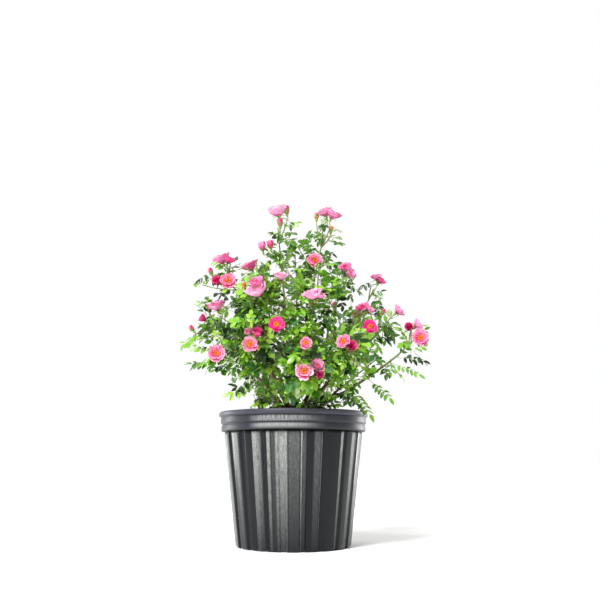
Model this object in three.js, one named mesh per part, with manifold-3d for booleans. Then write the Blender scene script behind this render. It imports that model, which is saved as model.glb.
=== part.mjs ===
// A shrub rose in full bloom, growing in a fluted black nursery pot.
//
// Millimetres, +Z up, the pot's flat underside at Z 0 with its centre at the origin. +Y runs away from the
// side that is seen first. The pot is filled with potting soil. On the soil sits the knobbly crown of the
// rose. Canes spring from the crown or fork from another cane, and each ends where it enters a spray: a
// mass of twigs, leaves and roses that keeps to its own space.
//
// Every spray grows by one seeded rule from one stem. The stem sends out a stalk to each rose and bud, and
// side twigs a third of a turn apart, which are cut short where their space ends. Leaves stand on all of
// them in turn.

import * as THREE from "three";
import { mergeVertices } from "three/addons/utils/BufferGeometryUtils.js";
import Module from "manifold-3d";

const wasm = await Module();
wasm.setup();

// The pot: a trade number 3 nursery container, 280 mm across its rim.
const RIM_RADIUS = 140;
const POT_HEIGHT = 241;
const BASE_RADIUS = 105;
const BODY_TOP_RADIUS = 129.5;
const BAND_BOTTOM = 205.5;
const BAND_SPLIT = 218;
const LIP_BOTTOM = 231.5;
const BAND_RADIUS = 136.5;
const ROLL_RADIUS = 135.5;
const WALL = 2;
const FLOOR = 4;
const FLUTES = 20;
const FLUTE_DEPTH = 3.6;
const POT_SIDES = 40;
const DRAIN_HOLES = 6;
const DRAIN_RADIUS = 7;
const DRAIN_CIRCLE = 82;

// The soil and the crown.
const SOIL_TOP = 216;
const FLAT_SOIL_RADIUS = 34;
const CROWN_HEIGHT = 30;
const CROWN_FLARE = 27;
const CROWN_WAIST = 19;

// Clearances. GAP separates pieces that touch on the plant.
const GAP = 0.35;
const SMOOTHING = 0.12;
const CELL_MARGIN = 4;
const LIMB_MARGIN = 2.2;
const POT_MARGIN = 3;

// Limbs, twigs and leaves.
const UP = new THREE.Vector3(0, 0, 1);
const AXES = [new THREE.Vector3(1, 0, 0), new THREE.Vector3(0, 1, 0), UP];
const CROWN_CENTRE = new THREE.Vector3(0, 0, SOIL_TOP + 14);
const BLOOM_CENTRE = new THREE.Vector3(20, 10, 330);
const CANE_SIDES = 4;
const CANE_STEPS = 4;
const CANE_ROOT_RADIUS = 3.6;
const CANE_TIP_RADIUS = 1.9;
const TWIG_SIDES = 3;
const STEM_STEPS = 3;
const STEM_TIP_RADIUS = 1.1;
const TWIG_RADII = [0.45, 1.3, 1];
const THIRD_TURN = (2 * Math.PI) / 3;
const SIDE_TWIG_LENGTH = 74;
const SHORTEST_TWIG = 16;
const SHOOT_REACH = 27;
const LEAF_SPACING = 22;
const LEAF_LENGTH = 60;
const LEAF_SUNK = 0.3;
const TWIG_HABIT = { first: 0.15, last: 0.92, atTip: true, size: 1 };
const STALK_HABIT = { first: 0.12, last: 0.78, atTip: false, size: 0.85 };
const SHOOT_HABIT = { first: 0.2, last: 0.85, atTip: true, size: 1 };
const STEM_HABIT = { first: 0.08, last: 0.95, atTip: true, size: 1 };
const LEAF_TRIES = [[0, 1], [1, 1], [2, 1], [0, 0.75], [1, 0.75], [2, 0.75], [0, 0.6]];
const SEED = 7300;

// The rose and its bud, as outlines turned about the stalk.
const BLOOM_RADIUS = 16;
const BUD_LENGTH = 17;

// The sprays. from is where the spray's cane ends and its stem begins, to is the stem's tip, and reach is
// how far the spray spreads from that line. cane names another spray's cane that this one's forks from, at
// the share fork of its length; without it the cane springs from the crown. lift bends twigs up, or down
// where it is below 0. roses and buds are their places, and shoots are leafy twigs that reach out to a
// leaf's tip at their place. everyNth makes each nth side twig end in a rose, and leafSize scales the
// leaves of a crowded spray.
const SPRAYS = [
  {
    name: "spire_left", from: [-22, 4, 500], to: [-32, 0, 608], reach: 46, twigs: 5, lift: 0.2,
    roses: [[-32, -2, 641]], buds: [[-14, -4, 640], [-27, -14, 611], [-62, -22, 564], [-46, -26, 567]],
    shoots: [[22, -6, 600], [-70, 6, 562], [-84, 2, 532]],
  },
  {
    name: "spire_right", from: [38, 20, 490], to: [61, 8, 597], reach: 50, twigs: 6, lift: 0.2,
    roses: [[62, 2, 642], [79, 0, 636], [41, -46, 529]], buds: [[46, 4, 632], [74, -6, 601]],
    shoots: [[92, 4, 584], [20, -4, 572]],
  },
  {
    name: "shoulder_left", from: [-84, -36, 440], to: [-130, -42, 510], reach: 56, twigs: 5, lift: 0.2,
    roses: [[-139, -46, 531], [-123, -56, 527], [-144, -66, 483], [-121, -86, 478], [-82, -62, 513]],
    buds: [[-158, -46, 505]], shoots: [[-182, -34, 490]],
  },
  {
    name: "flank_left_up", from: [-110, -14, 380], to: [-172, -8, 418], reach: 48, twigs: 5, lift: 0.2,
    cane: "shoulder_left", fork: 0.5, roses: [[-146, -40, 440], [-176, -22, 420]], buds: [[-195, -14, 400]],
    shoots: [[-204, -12, 376]],
  },
  {
    name: "flank_left_low", from: [-88, -34, 322], to: [-148, -38, 348], reach: 44, twigs: 5, lift: 0.08,
    roses: [[-139, -92, 342]], buds: [], shoots: [[-186, -36, 331], [-130, -30, 272]],
  },
  {
    name: "heart_left", from: [-36, -48, 400], to: [-60, -108, 446], reach: 64, twigs: 7, lift: 0.15,
    cane: "spire_left", fork: 0.45, roses: [[-62, -168, 440], [-64, -160, 458], [-22, -138, 474]],
    buds: [[-86, -152, 452]], shoots: [],
  },
  {
    name: "front_left", from: [-44, -82, 322], to: [-70, -142, 360], reach: 60, twigs: 7, lift: 0.08,
    roses: [[-28, -192, 377], [-72, -180, 345], [-60, -186, 365], [-76, -176, 367]], buds: [],
    shoots: [],
  },
  {
    name: "front_low", from: [16, -80, 288], to: [26, -146, 316], reach: 58, twigs: 7, lift: 0.05,
    roses: [[19, -190, 298], [42, -188, 309], [44, -184, 293], [22, -200, 344]], buds: [], shoots: [],
  },
  {
    name: "heart_right", from: [34, -46, 405], to: [44, -104, 452], reach: 64, twigs: 7, lift: 0.15,
    cane: "spire_right", fork: 0.45, roses: [[32, -172, 432], [46, -168, 431]], buds: [],
    shoots: [],
  },
  {
    name: "front_right", from: [62, -74, 322], to: [92, -132, 350], reach: 58, twigs: 7, lift: 0.08,
    roses: [[85, -186, 349], [99, -176, 342]], buds: [], shoots: [],
  },
  {
    name: "shoulder_right", from: [76, -6, 432], to: [104, -22, 500], reach: 54, twigs: 6, lift: 0.2,
    cane: "flank_right_up", fork: 0.5, roses: [[97, -42, 516], [108, -46, 501]], buds: [],
    shoots: [[76, -30, 548], [128, -20, 536]],
  },
  {
    name: "flank_right_up", from: [114, 6, 398], to: [158, 6, 484], reach: 48, twigs: 5, lift: 0.15,
    roses: [[162, -4, 506], [172, -6, 498]], buds: [], shoots: [[184, 2, 508], [188, 4, 468]],
  },
  {
    name: "flank_right_mid", from: [108, -38, 338], to: [182, -30, 408], reach: 52, twigs: 7, lift: 0.08,
    roses: [[127, -72, 433], [142, -74, 425], [140, -92, 391], [203, -22, 434]], buds: [[168, -52, 425]],
    shoots: [[214, -26, 410]],
  },
  {
    name: "far_right", from: [180, -26, 334], to: [232, -28, 380], reach: 44, twigs: 4, lift: -0.05,
    roses: [[220, -30, 401], [238, -26, 406], [236, -56, 376]], buds: [],
    shoots: [[252, -28, 412], [242, -30, 304], [252, -26, 336], [190, -28, 296]],
  },
  {
    name: "right_low", from: [88, -58, 284], to: [154, -56, 336], reach: 44, twigs: 6, lift: -0.08,
    cane: "far_right", fork: 0.3, roses: [], buds: [], shoots: [[146, -92, 226], [180, -58, 256]],
  },
  {
    name: "heart_low", from: [-2, -50, 318], to: [4, -100, 382], reach: 68, twigs: 9, lift: 0.1,
    leafSize: 0.72, roses: [], buds: [], shoots: [],
  },
  {
    name: "back_top", from: [4, 62, 440], to: [8, 82, 532], reach: 66, twigs: 7, lift: 0.2, everyNth: 3,
    cane: "back_right", fork: 0.5, roses: [[2, 88, 558]], buds: [], shoots: [],
  },
  {
    name: "back_left", from: [-70, 62, 366], to: [-110, 106, 428], reach: 72, twigs: 7, lift: 0.12,
    everyNth: 4, roses: [[-120, 116, 458]], buds: [], shoots: [],
  },
  {
    name: "back_right", from: [80, 66, 362], to: [122, 108, 424], reach: 72, twigs: 7, lift: 0.12,
    everyNth: 4, roses: [[132, 118, 454]], buds: [], shoots: [],
  },
  {
    name: "back_low_left", from: [-58, 82, 292], to: [-82, 144, 326], reach: 58, twigs: 7, lift: 0.08,
    everyNth: 4, roses: [], buds: [], shoots: [],
  },
  {
    name: "back_low_right", from: [60, 86, 292], to: [86, 146, 328], reach: 58, twigs: 7, lift: 0.08,
    everyNth: 4, roses: [], buds: [], shoots: [],
  },
  {
    name: "skirt_left", from: [-30, -36, 262], to: [-50, -94, 268], reach: 38, twigs: 8, lift: 0.02,
    leafSize: 0.6, roses: [], buds: [], shoots: [],
  },
  {
    name: "skirt_right", from: [26, -36, 262], to: [38, -92, 266], reach: 38, twigs: 8, lift: 0.02,
    leafSize: 0.6, roses: [], buds: [], shoots: [],
  },
];

const POT_COLOUR = 0x2b2f33;
const SOIL_COLOUR = 0x3a2620;
const CROWN_COLOUR = 0x6a5138;
const CANE_COLOUR = 0x5f6b2c;
const SPRAY_COLOUR = 0x3f7a22;

const material = (color, roughness) => new THREE.MeshStandardMaterial({ color, roughness, metalness: 0 });
const materials = {
  pot: material(POT_COLOUR, 0.42),
  soil: material(SOIL_COLOUR, 0.95),
  crown: material(CROWN_COLOUR, 0.9),
  cane: material(CANE_COLOUR, 0.6),
  spray: material(SPRAY_COLOUR, 0.5),
};

// A seeded generator of numbers from 0 to 1, mulberry32.
function randomFrom(seed) {
  let state = seed >>> 0;
  return () => {
    state = (state + 0x6d2b79f5) >>> 0;
    let t = state;
    t = Math.imul(t ^ (t >>> 15), t | 1);
    t ^= t + Math.imul(t ^ (t >>> 7), t | 61);
    return ((t ^ (t >>> 14)) >>> 0) / 4294967296;
  };
}

const vector = ([x, y, z]) => new THREE.Vector3(x, y, z);
const mix = (a, b, share) => a.clone().lerp(b, share);
const mixed = (a, b, share) => a + (b - a) * share;

// A geometry as a closed manifold-3d solid that faces out.
function solidOf(geometry) {
  const bare = geometry.clone();
  bare.deleteAttribute("normal");
  bare.deleteAttribute("uv");
  const merged = mergeVertices(bare, 1e-4);
  const triVerts = new Uint32Array(merged.index.array);
  const build = () => new wasm.Manifold(
    new wasm.Mesh({ numProp: 3, vertProperties: merged.attributes.position.array, triVerts }),
  );
  const solid = build();
  if (solid.volume() > 0) return solid;
  for (let i = 0; i < triVerts.length; i += 3) {
    [triVerts[i], triVerts[i + 1]] = [triVerts[i + 1], triVerts[i]];
  }
  return build();
}

// The largest body of a solid, without any scrap that came loose from it.
function largestBody(solid) {
  const bodies = solid.decompose();
  return bodies.reduce((best, body) => (body.volume() > best.volume() ? body : best), bodies[0]);
}

// A manifold-3d solid as a three.js geometry with flat faces.
function geometryOf(solid) {
  const mesh = solid.getMesh();
  const position = new Float32Array(mesh.numVert * 3);
  for (let i = 0; i < mesh.numVert; i++) {
    position.set(mesh.vertProperties.subarray(i * mesh.numProp, i * mesh.numProp + 3), i * 3);
  }
  const indexed = new THREE.BufferGeometry();
  indexed.setAttribute("position", new THREE.BufferAttribute(position, 3));
  indexed.setIndex(new THREE.BufferAttribute(new Uint32Array(mesh.triVerts), 1));
  const geometry = indexed.toNonIndexed();
  geometry.computeVertexNormals();
  return geometry;
}

// A profile of [radius, height] pairs turned about +Z.
function turned(profile, segments) {
  const geometry = new THREE.LatheGeometry(profile.map(([r, z]) => new THREE.Vector2(r, z)), segments);
  return geometry.rotateX(Math.PI / 2);
}

// The radius of the pot's inside at a height below the band.
function innerRadius(z) {
  const atBand = BODY_TOP_RADIUS - FLUTE_DEPTH - WALL;
  const atFloor = BASE_RADIUS - FLUTE_DEPTH - WALL;
  return atFloor + ((atBand - atFloor) * (z - FLOOR)) / (BAND_BOTTOM - FLOOR);
}

// The corners of one flute as shares of its turn from the middle of its ridge, and which lie in its valley.
const FLUTE_CORNERS = [-0.31, 0.31, 0.4, 0.6];
const VALLEY_CORNERS = [2, 3];

// The pot: an outer wall of ridges and valleys below a banded rim, hollow, with drain holes in its floor.
function pot() {
  const bodyRadius = (z) => BASE_RADIUS + ((BODY_TOP_RADIUS - BASE_RADIUS) * z) / BAND_BOTTOM;
  const fluteTop = BAND_BOTTOM - 5;
  const body = turned([
    [0, 0], [bodyRadius(0), 0], [bodyRadius(fluteTop), fluteTop],
    [bodyRadius(fluteTop) - FLUTE_DEPTH, BAND_BOTTOM], [0, BAND_BOTTOM],
  ], FLUTES * FLUTE_CORNERS.length);
  const position = body.attributes.position;
  for (let i = 0; i < position.count; i++) {
    const [x, y, z] = [position.getX(i), position.getY(i), position.getZ(i)];
    const turn = ((Math.atan2(x, -y) / (2 * Math.PI) + 1) % 1) * FLUTES;
    const corner = Math.round(turn * FLUTE_CORNERS.length) % (FLUTES * FLUTE_CORNERS.length);
    const place = corner % FLUTE_CORNERS.length;
    const angle = (2 * Math.PI * (Math.floor(corner / FLUTE_CORNERS.length) + FLUTE_CORNERS[place])) / FLUTES;
    const deep = z < fluteTop + 0.1 && VALLEY_CORNERS.includes(place);
    const radius = Math.max(0, Math.hypot(x, y) - (deep ? FLUTE_DEPTH : 0));
    position.setXY(i, radius * Math.sin(angle), -radius * Math.cos(angle));
  }
  const rim = turned([
    [0, BAND_BOTTOM - 1], [ROLL_RADIUS, BAND_BOTTOM - 1], [ROLL_RADIUS - 1, BAND_SPLIT - 1],
    [BAND_RADIUS, BAND_SPLIT + 1], [BAND_RADIUS, LIP_BOTTOM], [RIM_RADIUS, LIP_BOTTOM + 1.5],
    [RIM_RADIUS, POT_HEIGHT - 2], [RIM_RADIUS - 3, POT_HEIGHT], [0, POT_HEIGHT],
  ], POT_SIDES);
  const hollow = turned([
    [0, FLOOR], [innerRadius(FLOOR), FLOOR], [innerRadius(BAND_BOTTOM), BAND_BOTTOM - 2],
    [BAND_RADIUS - 5, BAND_BOTTOM + 6], [RIM_RADIUS - 8, POT_HEIGHT + 1], [0, POT_HEIGHT + 1],
  ], POT_SIDES);
  let solid = solidOf(body).add(solidOf(rim)).subtract(solidOf(hollow));
  for (let i = 0; i < DRAIN_HOLES; i++) {
    const angle = (2 * Math.PI * (i + 0.5)) / DRAIN_HOLES;
    const hole = new THREE.CylinderGeometry(DRAIN_RADIUS, DRAIN_RADIUS, 4 * FLOOR, 6).rotateX(Math.PI / 2);
    hole.translate(DRAIN_CIRCLE * Math.cos(angle), DRAIN_CIRCLE * Math.sin(angle), 0);
    solid = solid.subtract(solidOf(hole));
  }
  return solid;
}

// The soil: it fills the pot to just under the rim band. Its top is slightly uneven, and flat at the crown.
function soil() {
  const clearance = GAP + 0.1;
  const edge = innerRadius(BAND_BOTTOM - 2) - clearance - 1;
  const profile = [
    [0, FLOOR + GAP], [innerRadius(FLOOR) - clearance, FLOOR + GAP], [edge, BAND_BOTTOM - 2],
    [innerRadius(BAND_BOTTOM) + 1.2, SOIL_TOP - 6], [100, SOIL_TOP - 4], [64, SOIL_TOP - 1],
    [FLAT_SOIL_RADIUS, SOIL_TOP], [0, SOIL_TOP],
  ];
  const geometry = turned(profile, POT_SIDES);
  const position = geometry.attributes.position;
  for (let i = 0; i < position.count; i++) {
    const radius = Math.hypot(position.getX(i), position.getY(i));
    const loose = radius > FLAT_SOIL_RADIUS + 5 && radius < edge - 1 && position.getZ(i) > SOIL_TOP - 20;
    if (!loose) continue;
    const angle = Math.atan2(position.getX(i), position.getY(i));
    const bump = 1.6 * Math.sin(5 * angle + radius) + 1.1 * Math.sin(11 * angle - radius / 3);
    position.setZ(i, position.getZ(i) + bump);
  }
  return solidOf(geometry);
}

// The crown: a knobbly stub with a flare at the soil. extra widens it all round, for the canes' clearance.
function crown(extra = 0) {
  const profile = [
    [0, 0], [CROWN_FLARE, 0], [CROWN_FLARE - 2.5, 4], [CROWN_WAIST, 10], [CROWN_WAIST + 1.5, 17],
    [CROWN_WAIST - 2, 24], [9, CROWN_HEIGHT - 1], [0, CROWN_HEIGHT],
  ];
  const geometry = turned(profile.map(([r, z]) => [r ? r + extra : 0, z ? z + extra : -extra]), 12);
  const position = geometry.attributes.position;
  for (let i = 0; i < position.count; i++) {
    const angle = Math.atan2(position.getX(i), position.getY(i));
    const knob = 1 + 0.07 * Math.sin(3 * angle + position.getZ(i) / 5) + 0.04 * Math.sin(5 * angle);
    position.setXYZ(i, position.getX(i) * knob, position.getY(i) * knob, position.getZ(i));
  }
  return solidOf(geometry.translate(0, 0, SOIL_TOP + GAP));
}

// A limb: a curve with its radius at even steps along it.
const limb = (curve, radii) => ({ curve, radii });
const bent = (root, control, end) => new THREE.QuadraticBezierCurve3(root, control, end);
const taper = (first, last, steps) => (
  Array.from({ length: steps + 1 }, (_, i) => mixed(first, last, i / steps)));

// The place at a share of a limb's length, on the straight run between two of its rings.
function placeOn({ curve, radii }, share) {
  const steps = radii.length - 1;
  const ring = Math.min(Math.floor(share * steps), steps - 1);
  return mix(curve.getPoint(ring / steps), curve.getPoint((ring + 1) / steps), share * steps - ring);
}

// A direction square to a curve, turned about it by angle. It starts from the axis that the curve runs
// along least, so that it never twists.
function sideways(curve, share, angle) {
  const chord = curve.getPoint(1).sub(curve.getPoint(0));
  const [, axis] = AXES.map((way) => [Math.abs(chord.dot(way)), way]).sort((a, b) => a[0] - b[0])[0];
  const along = curve.getTangent(share);
  return new THREE.Vector3().crossVectors(along, axis).normalize().applyAxisAngle(along, angle);
}

// A limb's solid: a cylinder bent along its curve, closed at both ends. A flat face lies towards each side
// that sideways gives for a whole share of a turn. extra widens it all round.
function limbSolid({ curve, radii }, sides, extra = 0) {
  const steps = radii.length - 1;
  const geometry = new THREE.CylinderGeometry(1, 1, 1, sides, steps);
  const position = geometry.attributes.position;
  for (let i = 0; i < position.count; i++) {
    const step = Math.round((position.getY(i) + 0.5) * steps);
    const out = Math.hypot(position.getX(i), position.getZ(i)) * (radii[step] + extra);
    const angle = Math.atan2(position.getX(i), position.getZ(i)) + Math.PI / sides;
    const place = curve.getPoint(step / steps).addScaledVector(sideways(curve, step / steps, angle), out);
    position.setXYZ(i, place.x, place.y, place.z);
  }
  return solidOf(geometry);
}

// The canes. Each leaves the crown towards its spray, or forks from another's cane, and arrives along the
// line of the spray's stem.
function caneOf(spray, others) {
  const from = vector(spray.from);
  const arriving = vector(spray.to).sub(from).normalize();
  const leaving = from.clone().sub(CROWN_CENTRE).normalize();
  leaving.z *= 0.5;
  const fork = spray.cane && placeOn(others.get(spray.cane), spray.fork);
  const root = fork || CROWN_CENTRE.clone().addScaledVector(leaving, 9);
  const control = from.clone().addScaledVector(arriving, -0.42 * from.distanceTo(root));
  if (!fork) control.lerp(mix(root, from, 0.5), 0.4);
  control.z = Math.max(control.z, Math.min(from.z, POT_HEIGHT + 6));
  const rootRadius = fork ? CANE_TIP_RADIUS + 0.6 : CANE_ROOT_RADIUS;
  return limb(bent(root, control, from), taper(rootRadius, CANE_TIP_RADIUS, CANE_STEPS));
}

const CANES = new Map();
const FORKED_LAST = [...SPRAYS].sort((a, b) => (a.cane ? 1 : 0) - (b.cane ? 1 : 0));
FORKED_LAST.forEach((spray) => CANES.set(spray.name, caneOf(spray, CANES)));

// The straight runs of a limb, from ring to ring.
function runsOf(twig) {
  const rings = twig.radii.map((_, i) => twig.curve.getPoint(i / (twig.radii.length - 1)));
  return rings.slice(1).map((ring, i) => new THREE.Line3(rings[i], ring));
}

const CANE_RUNS = [...CANES.values()].flatMap((cane) => (
  runsOf(cane).map((run, i) => ({ run, clear: cane.radii[i] + LIMB_MARGIN }))));

// A spray's own space: a capsule round its stem, and a slim one out to the tip of each shoot.
const SPACES = new Map(SPRAYS.map((spray) => {
  const stem = new THREE.Line3(vector(spray.from), vector(spray.to));
  const capsules = spray.shoots.map(vector).map((tip) => {
    const root = stem.closestPointToPoint(tip, true, new THREE.Vector3());
    return { line: new THREE.Line3(root, tip), reach: SHOOT_REACH };
  });
  return [spray, [{ line: stem, reach: spray.reach }, ...capsules]];
}));

// How far a point lies outside a spray's space, below 0 inside it.
function outside(spray, point) {
  const nearest = new THREE.Vector3();
  return Math.min(...SPACES.get(spray).map(({ line, reach }) => (
    line.closestPointToPoint(point, true, nearest).distanceTo(point) - reach)));
}

// True if a point is in the spray's own space: in its capsules, nearer to it than to any other, off the pot
// and the soil, and clear of every cane.
function isFree(spray, point) {
  const own = outside(spray, point);
  if (own > 0) return false;
  if (SPRAYS.some((other) => other !== spray && outside(other, point) < own + CELL_MARGIN)) return false;
  const radius = Math.hypot(point.x, point.y);
  if (point.z < POT_HEIGHT + POT_MARGIN) {
    const besideThePot = radius > RIM_RADIUS + POT_MARGIN;
    const overTheSoil = radius < innerRadius(BAND_BOTTOM) - POT_MARGIN && point.z > SOIL_TOP + 6;
    if (!besideThePot && !overTheSoil) return false;
  }
  const nearest = new THREE.Vector3();
  return CANE_RUNS.every(({ run, clear }) => (
    run.closestPointToPoint(point, true, nearest).distanceTo(point) > clear));
}

const outwards = (place) => place.clone().sub(BLOOM_CENTRE).normalize();

// Plants the leaves along one twig of the spray, on its three faces in turn. Each slot draws the same count
// of numbers, whether there is room for its leaf or not.
function plantLeaves(spray, grown, twig, random, { first, last, atTip, size }) {
  const { curve } = twig;
  const count = Math.max(1, Math.round(((last - first) * curve.getLength()) / LEAF_SPACING));
  const firstFace = Math.floor(3 * random());
  for (let i = 0; i <= count; i++) {
    const [turn, open, droop, lengthen, tilt, yaw] = Array.from({ length: 6 }, random);
    if (i === count && !atTip) break;
    const share = i === count ? 1 : first + ((last - first) * (i + 0.5)) / count;
    const root = placeOn(twig, share);
    const along = curve.getTangent(share);
    const spread = i === count ? 0.15 : 0.85 + 0.45 * open;
    const lean = new THREE.Vector3(1.6 * (tilt - 0.5), 1.6 * (yaw - 0.5), 0.8);
    const up = lean.addScaledVector(outwards(root), 0.7);
    for (const [spin, shrink] of LEAF_TRIES) {
      const side = sideways(curve, share, (firstFace + i + spin) * THIRD_TURN + 0.5 * (turn - 0.5));
      const way = along.clone().multiplyScalar(Math.cos(spread)).addScaledVector(side, Math.sin(spread));
      way.z -= 0.12 + 0.3 * droop;
      way.normalize();
      const normal = up.clone().addScaledVector(way, -up.dot(way)).normalize();
      const length = LEAF_LENGTH * (spray.leafSize || 1) * size * (0.82 + 0.3 * lengthen) * shrink;
      const leaf = { twig, root, way, normal, length };
      if (!hasRoom(spray, grown, twig, leaf)) continue;
      grown.leaves.push(leaf);
      break;
    }
  }
}

// The outline of a leaf as shares of its length: across, along. It is folded up to a ridge and flat below.
const LEAF_OUTLINE = [[0.34, 0.5], [0, 1], [-0.34, 0.5]];
const LEAF_RIDGE = [0, 0.5];
const LEAF_CREST = 0.05;
const LEAF_DROOP = 0.1;

function leafPlace(leaf, [across, along], above = 0) {
  const wide = leaf.way.clone().cross(leaf.normal);
  return leaf.root.clone().addScaledVector(wide, across * leaf.length)
    .addScaledVector(leaf.way, along * leaf.length)
    .addScaledVector(leaf.normal, (above - LEAF_DROOP * along * along) * leaf.length);
}

const leafEnds = (leaf) => [...LEAF_OUTLINE, LEAF_RIDGE].map((place) => leafPlace(leaf, place));

// The two halves of a leaf, and the lines that bound and cross it.
function leafNet(leaf) {
  const [right, tip, left, middle] = leafEnds(leaf);
  const foot = mix(leaf.root, middle, 0.12);
  return {
    halves: [[foot, right, tip], [foot, left, tip]],
    edges: [[foot, tip], [left, right], [foot, left], [foot, right], [left, tip], [right, tip]],
  };
}

// True if a leaf keeps to the spray's space and crosses no leaf, no rose and no twig but its own.
function hasRoom(spray, grown, ownTwig, leaf) {
  const [right, tip, left, middle] = leafEnds(leaf);
  const points = [
    right, tip, left, middle, mix(leaf.root, right, 0.6), mix(leaf.root, left, 0.6), mix(right, tip, 0.5),
    mix(left, tip, 0.5), mix(middle, tip, 0.5),
  ];
  if (!points.every((point) => isFree(spray, point))) return false;
  const onRose = ({ place, size }) => points.some((point) => place.distanceTo(point) < BLOOM_RADIUS * size);
  if (grown.blooms.some(onRose)) return false;
  const net = leafNet(leaf);
  const meet = (a, b) => a.edges.some((edge) => b.halves.some((half) => crosses(edge, half)));
  for (const other of grown.leaves) {
    if (other.root.distanceTo(leaf.root) > 2 * LEAF_LENGTH) continue;
    const otherNet = leafNet(other);
    if (meet(net, otherNet) || meet(otherNet, net)) return false;
  }
  const others = [grown.stem, ...grown.twigs].filter((twig) => twig !== ownTwig);
  return !others.some((twig) => meet({ edges: runsOf(twig).map(({ start, end }) => [start, end]) }, net));
}

// True if the line between two points goes through a triangle.
function crosses([from, to], [a, b, c]) {
  const way = to.clone().sub(from);
  const ray = new THREE.Ray(from, way.clone().normalize());
  const hit = ray.intersectTriangle(a, b, c, false, new THREE.Vector3());
  return hit !== null && hit.distanceTo(from) < way.length();
}

// The leaf's solid, with its root sunk in the twig.
function leafSolid(leaf) {
  const root = leaf.root.clone().addScaledVector(leaf.way, -LEAF_SUNK);
  const rim = LEAF_OUTLINE.map((place) => leafPlace(leaf, place));
  const corners = [root, ...rim, leafPlace(leaf, LEAF_RIDGE, LEAF_CREST)];
  const index = [0, 1, 4, 1, 2, 4, 2, 3, 4, 3, 0, 4, 1, 0, 2, 0, 3, 2];
  return solidOf(new THREE.BufferGeometry().setFromPoints(corners).setIndex(index));
}

// A rose or a bud: an outline turned about +Z, then stood on its stalk.
function bloomSolid({ place, way, isBud, size }) {
  const profile = isBud ? [[0, -2], [4.4, 4], [0, BUD_LENGTH]] : [[0, -8], [BLOOM_RADIUS, 4], [0, 3]];
  const geometry = turned(profile.map(([r, z]) => [r * size, z * size]), isBud ? 4 : 8);
  const turn = new THREE.Quaternion().setFromUnitVectors(UP, way);
  return solidOf(geometry.applyQuaternion(turn).translate(place.x, place.y, place.z));
}

// The share of a limb's length at its nearest point to a place.
function nearestShare(stem, place) {
  const shares = taper(0, 1, 20);
  const distances = shares.map((share) => placeOn(stem, share).distanceTo(place));
  return shares[distances.indexOf(Math.min(...distances))];
}

// A stalk from the stem to a rose or bud, which it reaches along the way that the flower faces.
function stalkTo(stem, place, way) {
  const root = placeOn(stem, THREE.MathUtils.clamp(nearestShare(stem, place) - 0.22, 0.06, 0.9));
  const end = place.clone().addScaledVector(way, -5);
  const control = end.clone().addScaledVector(way, -0.42 * end.distanceTo(root));
  return limb(bent(root, control, end), TWIG_RADII);
}

// A leafy shoot from the stem, which ends where a leaf at its end reaches the tip.
function shootTo(spray, stem, tip) {
  const root = placeOn(stem, Math.max(0.06, nearestShare(stem, tip) - 0.12));
  const way = tip.clone().sub(root);
  const end = tip.clone().addScaledVector(way, -Math.min(0.6, (0.85 * LEAF_LENGTH) / way.length()));
  const control = mix(root, end, 0.5).addScaledVector(UP, -0.4 * spray.lift * root.distanceTo(end));
  return limb(bent(root, control, end), TWIG_RADII);
}

// A side twig of the stem, shortened until it keeps to the spray's space, or null where there is no room.
function sideTwig(spray, stem, share, angle, open, length) {
  const root = placeOn(stem, share);
  const side = sideways(stem.curve, share, angle);
  const along = stem.curve.getTangent(share);
  const way = along.multiplyScalar(Math.cos(open)).addScaledVector(side, Math.sin(open));
  for (let reach = length; reach >= SHORTEST_TWIG; reach *= 0.86) {
    const end = root.clone().addScaledVector(way, reach).addScaledVector(UP, spray.lift * reach);
    const curve = bent(root, root.clone().addScaledVector(way, reach * 0.5), end);
    const twig = limb(curve, TWIG_RADII);
    if (taper(0.2, 1, 10).every((at) => isFree(spray, placeOn(twig, at)))) return twig;
  }
  return null;
}

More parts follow.
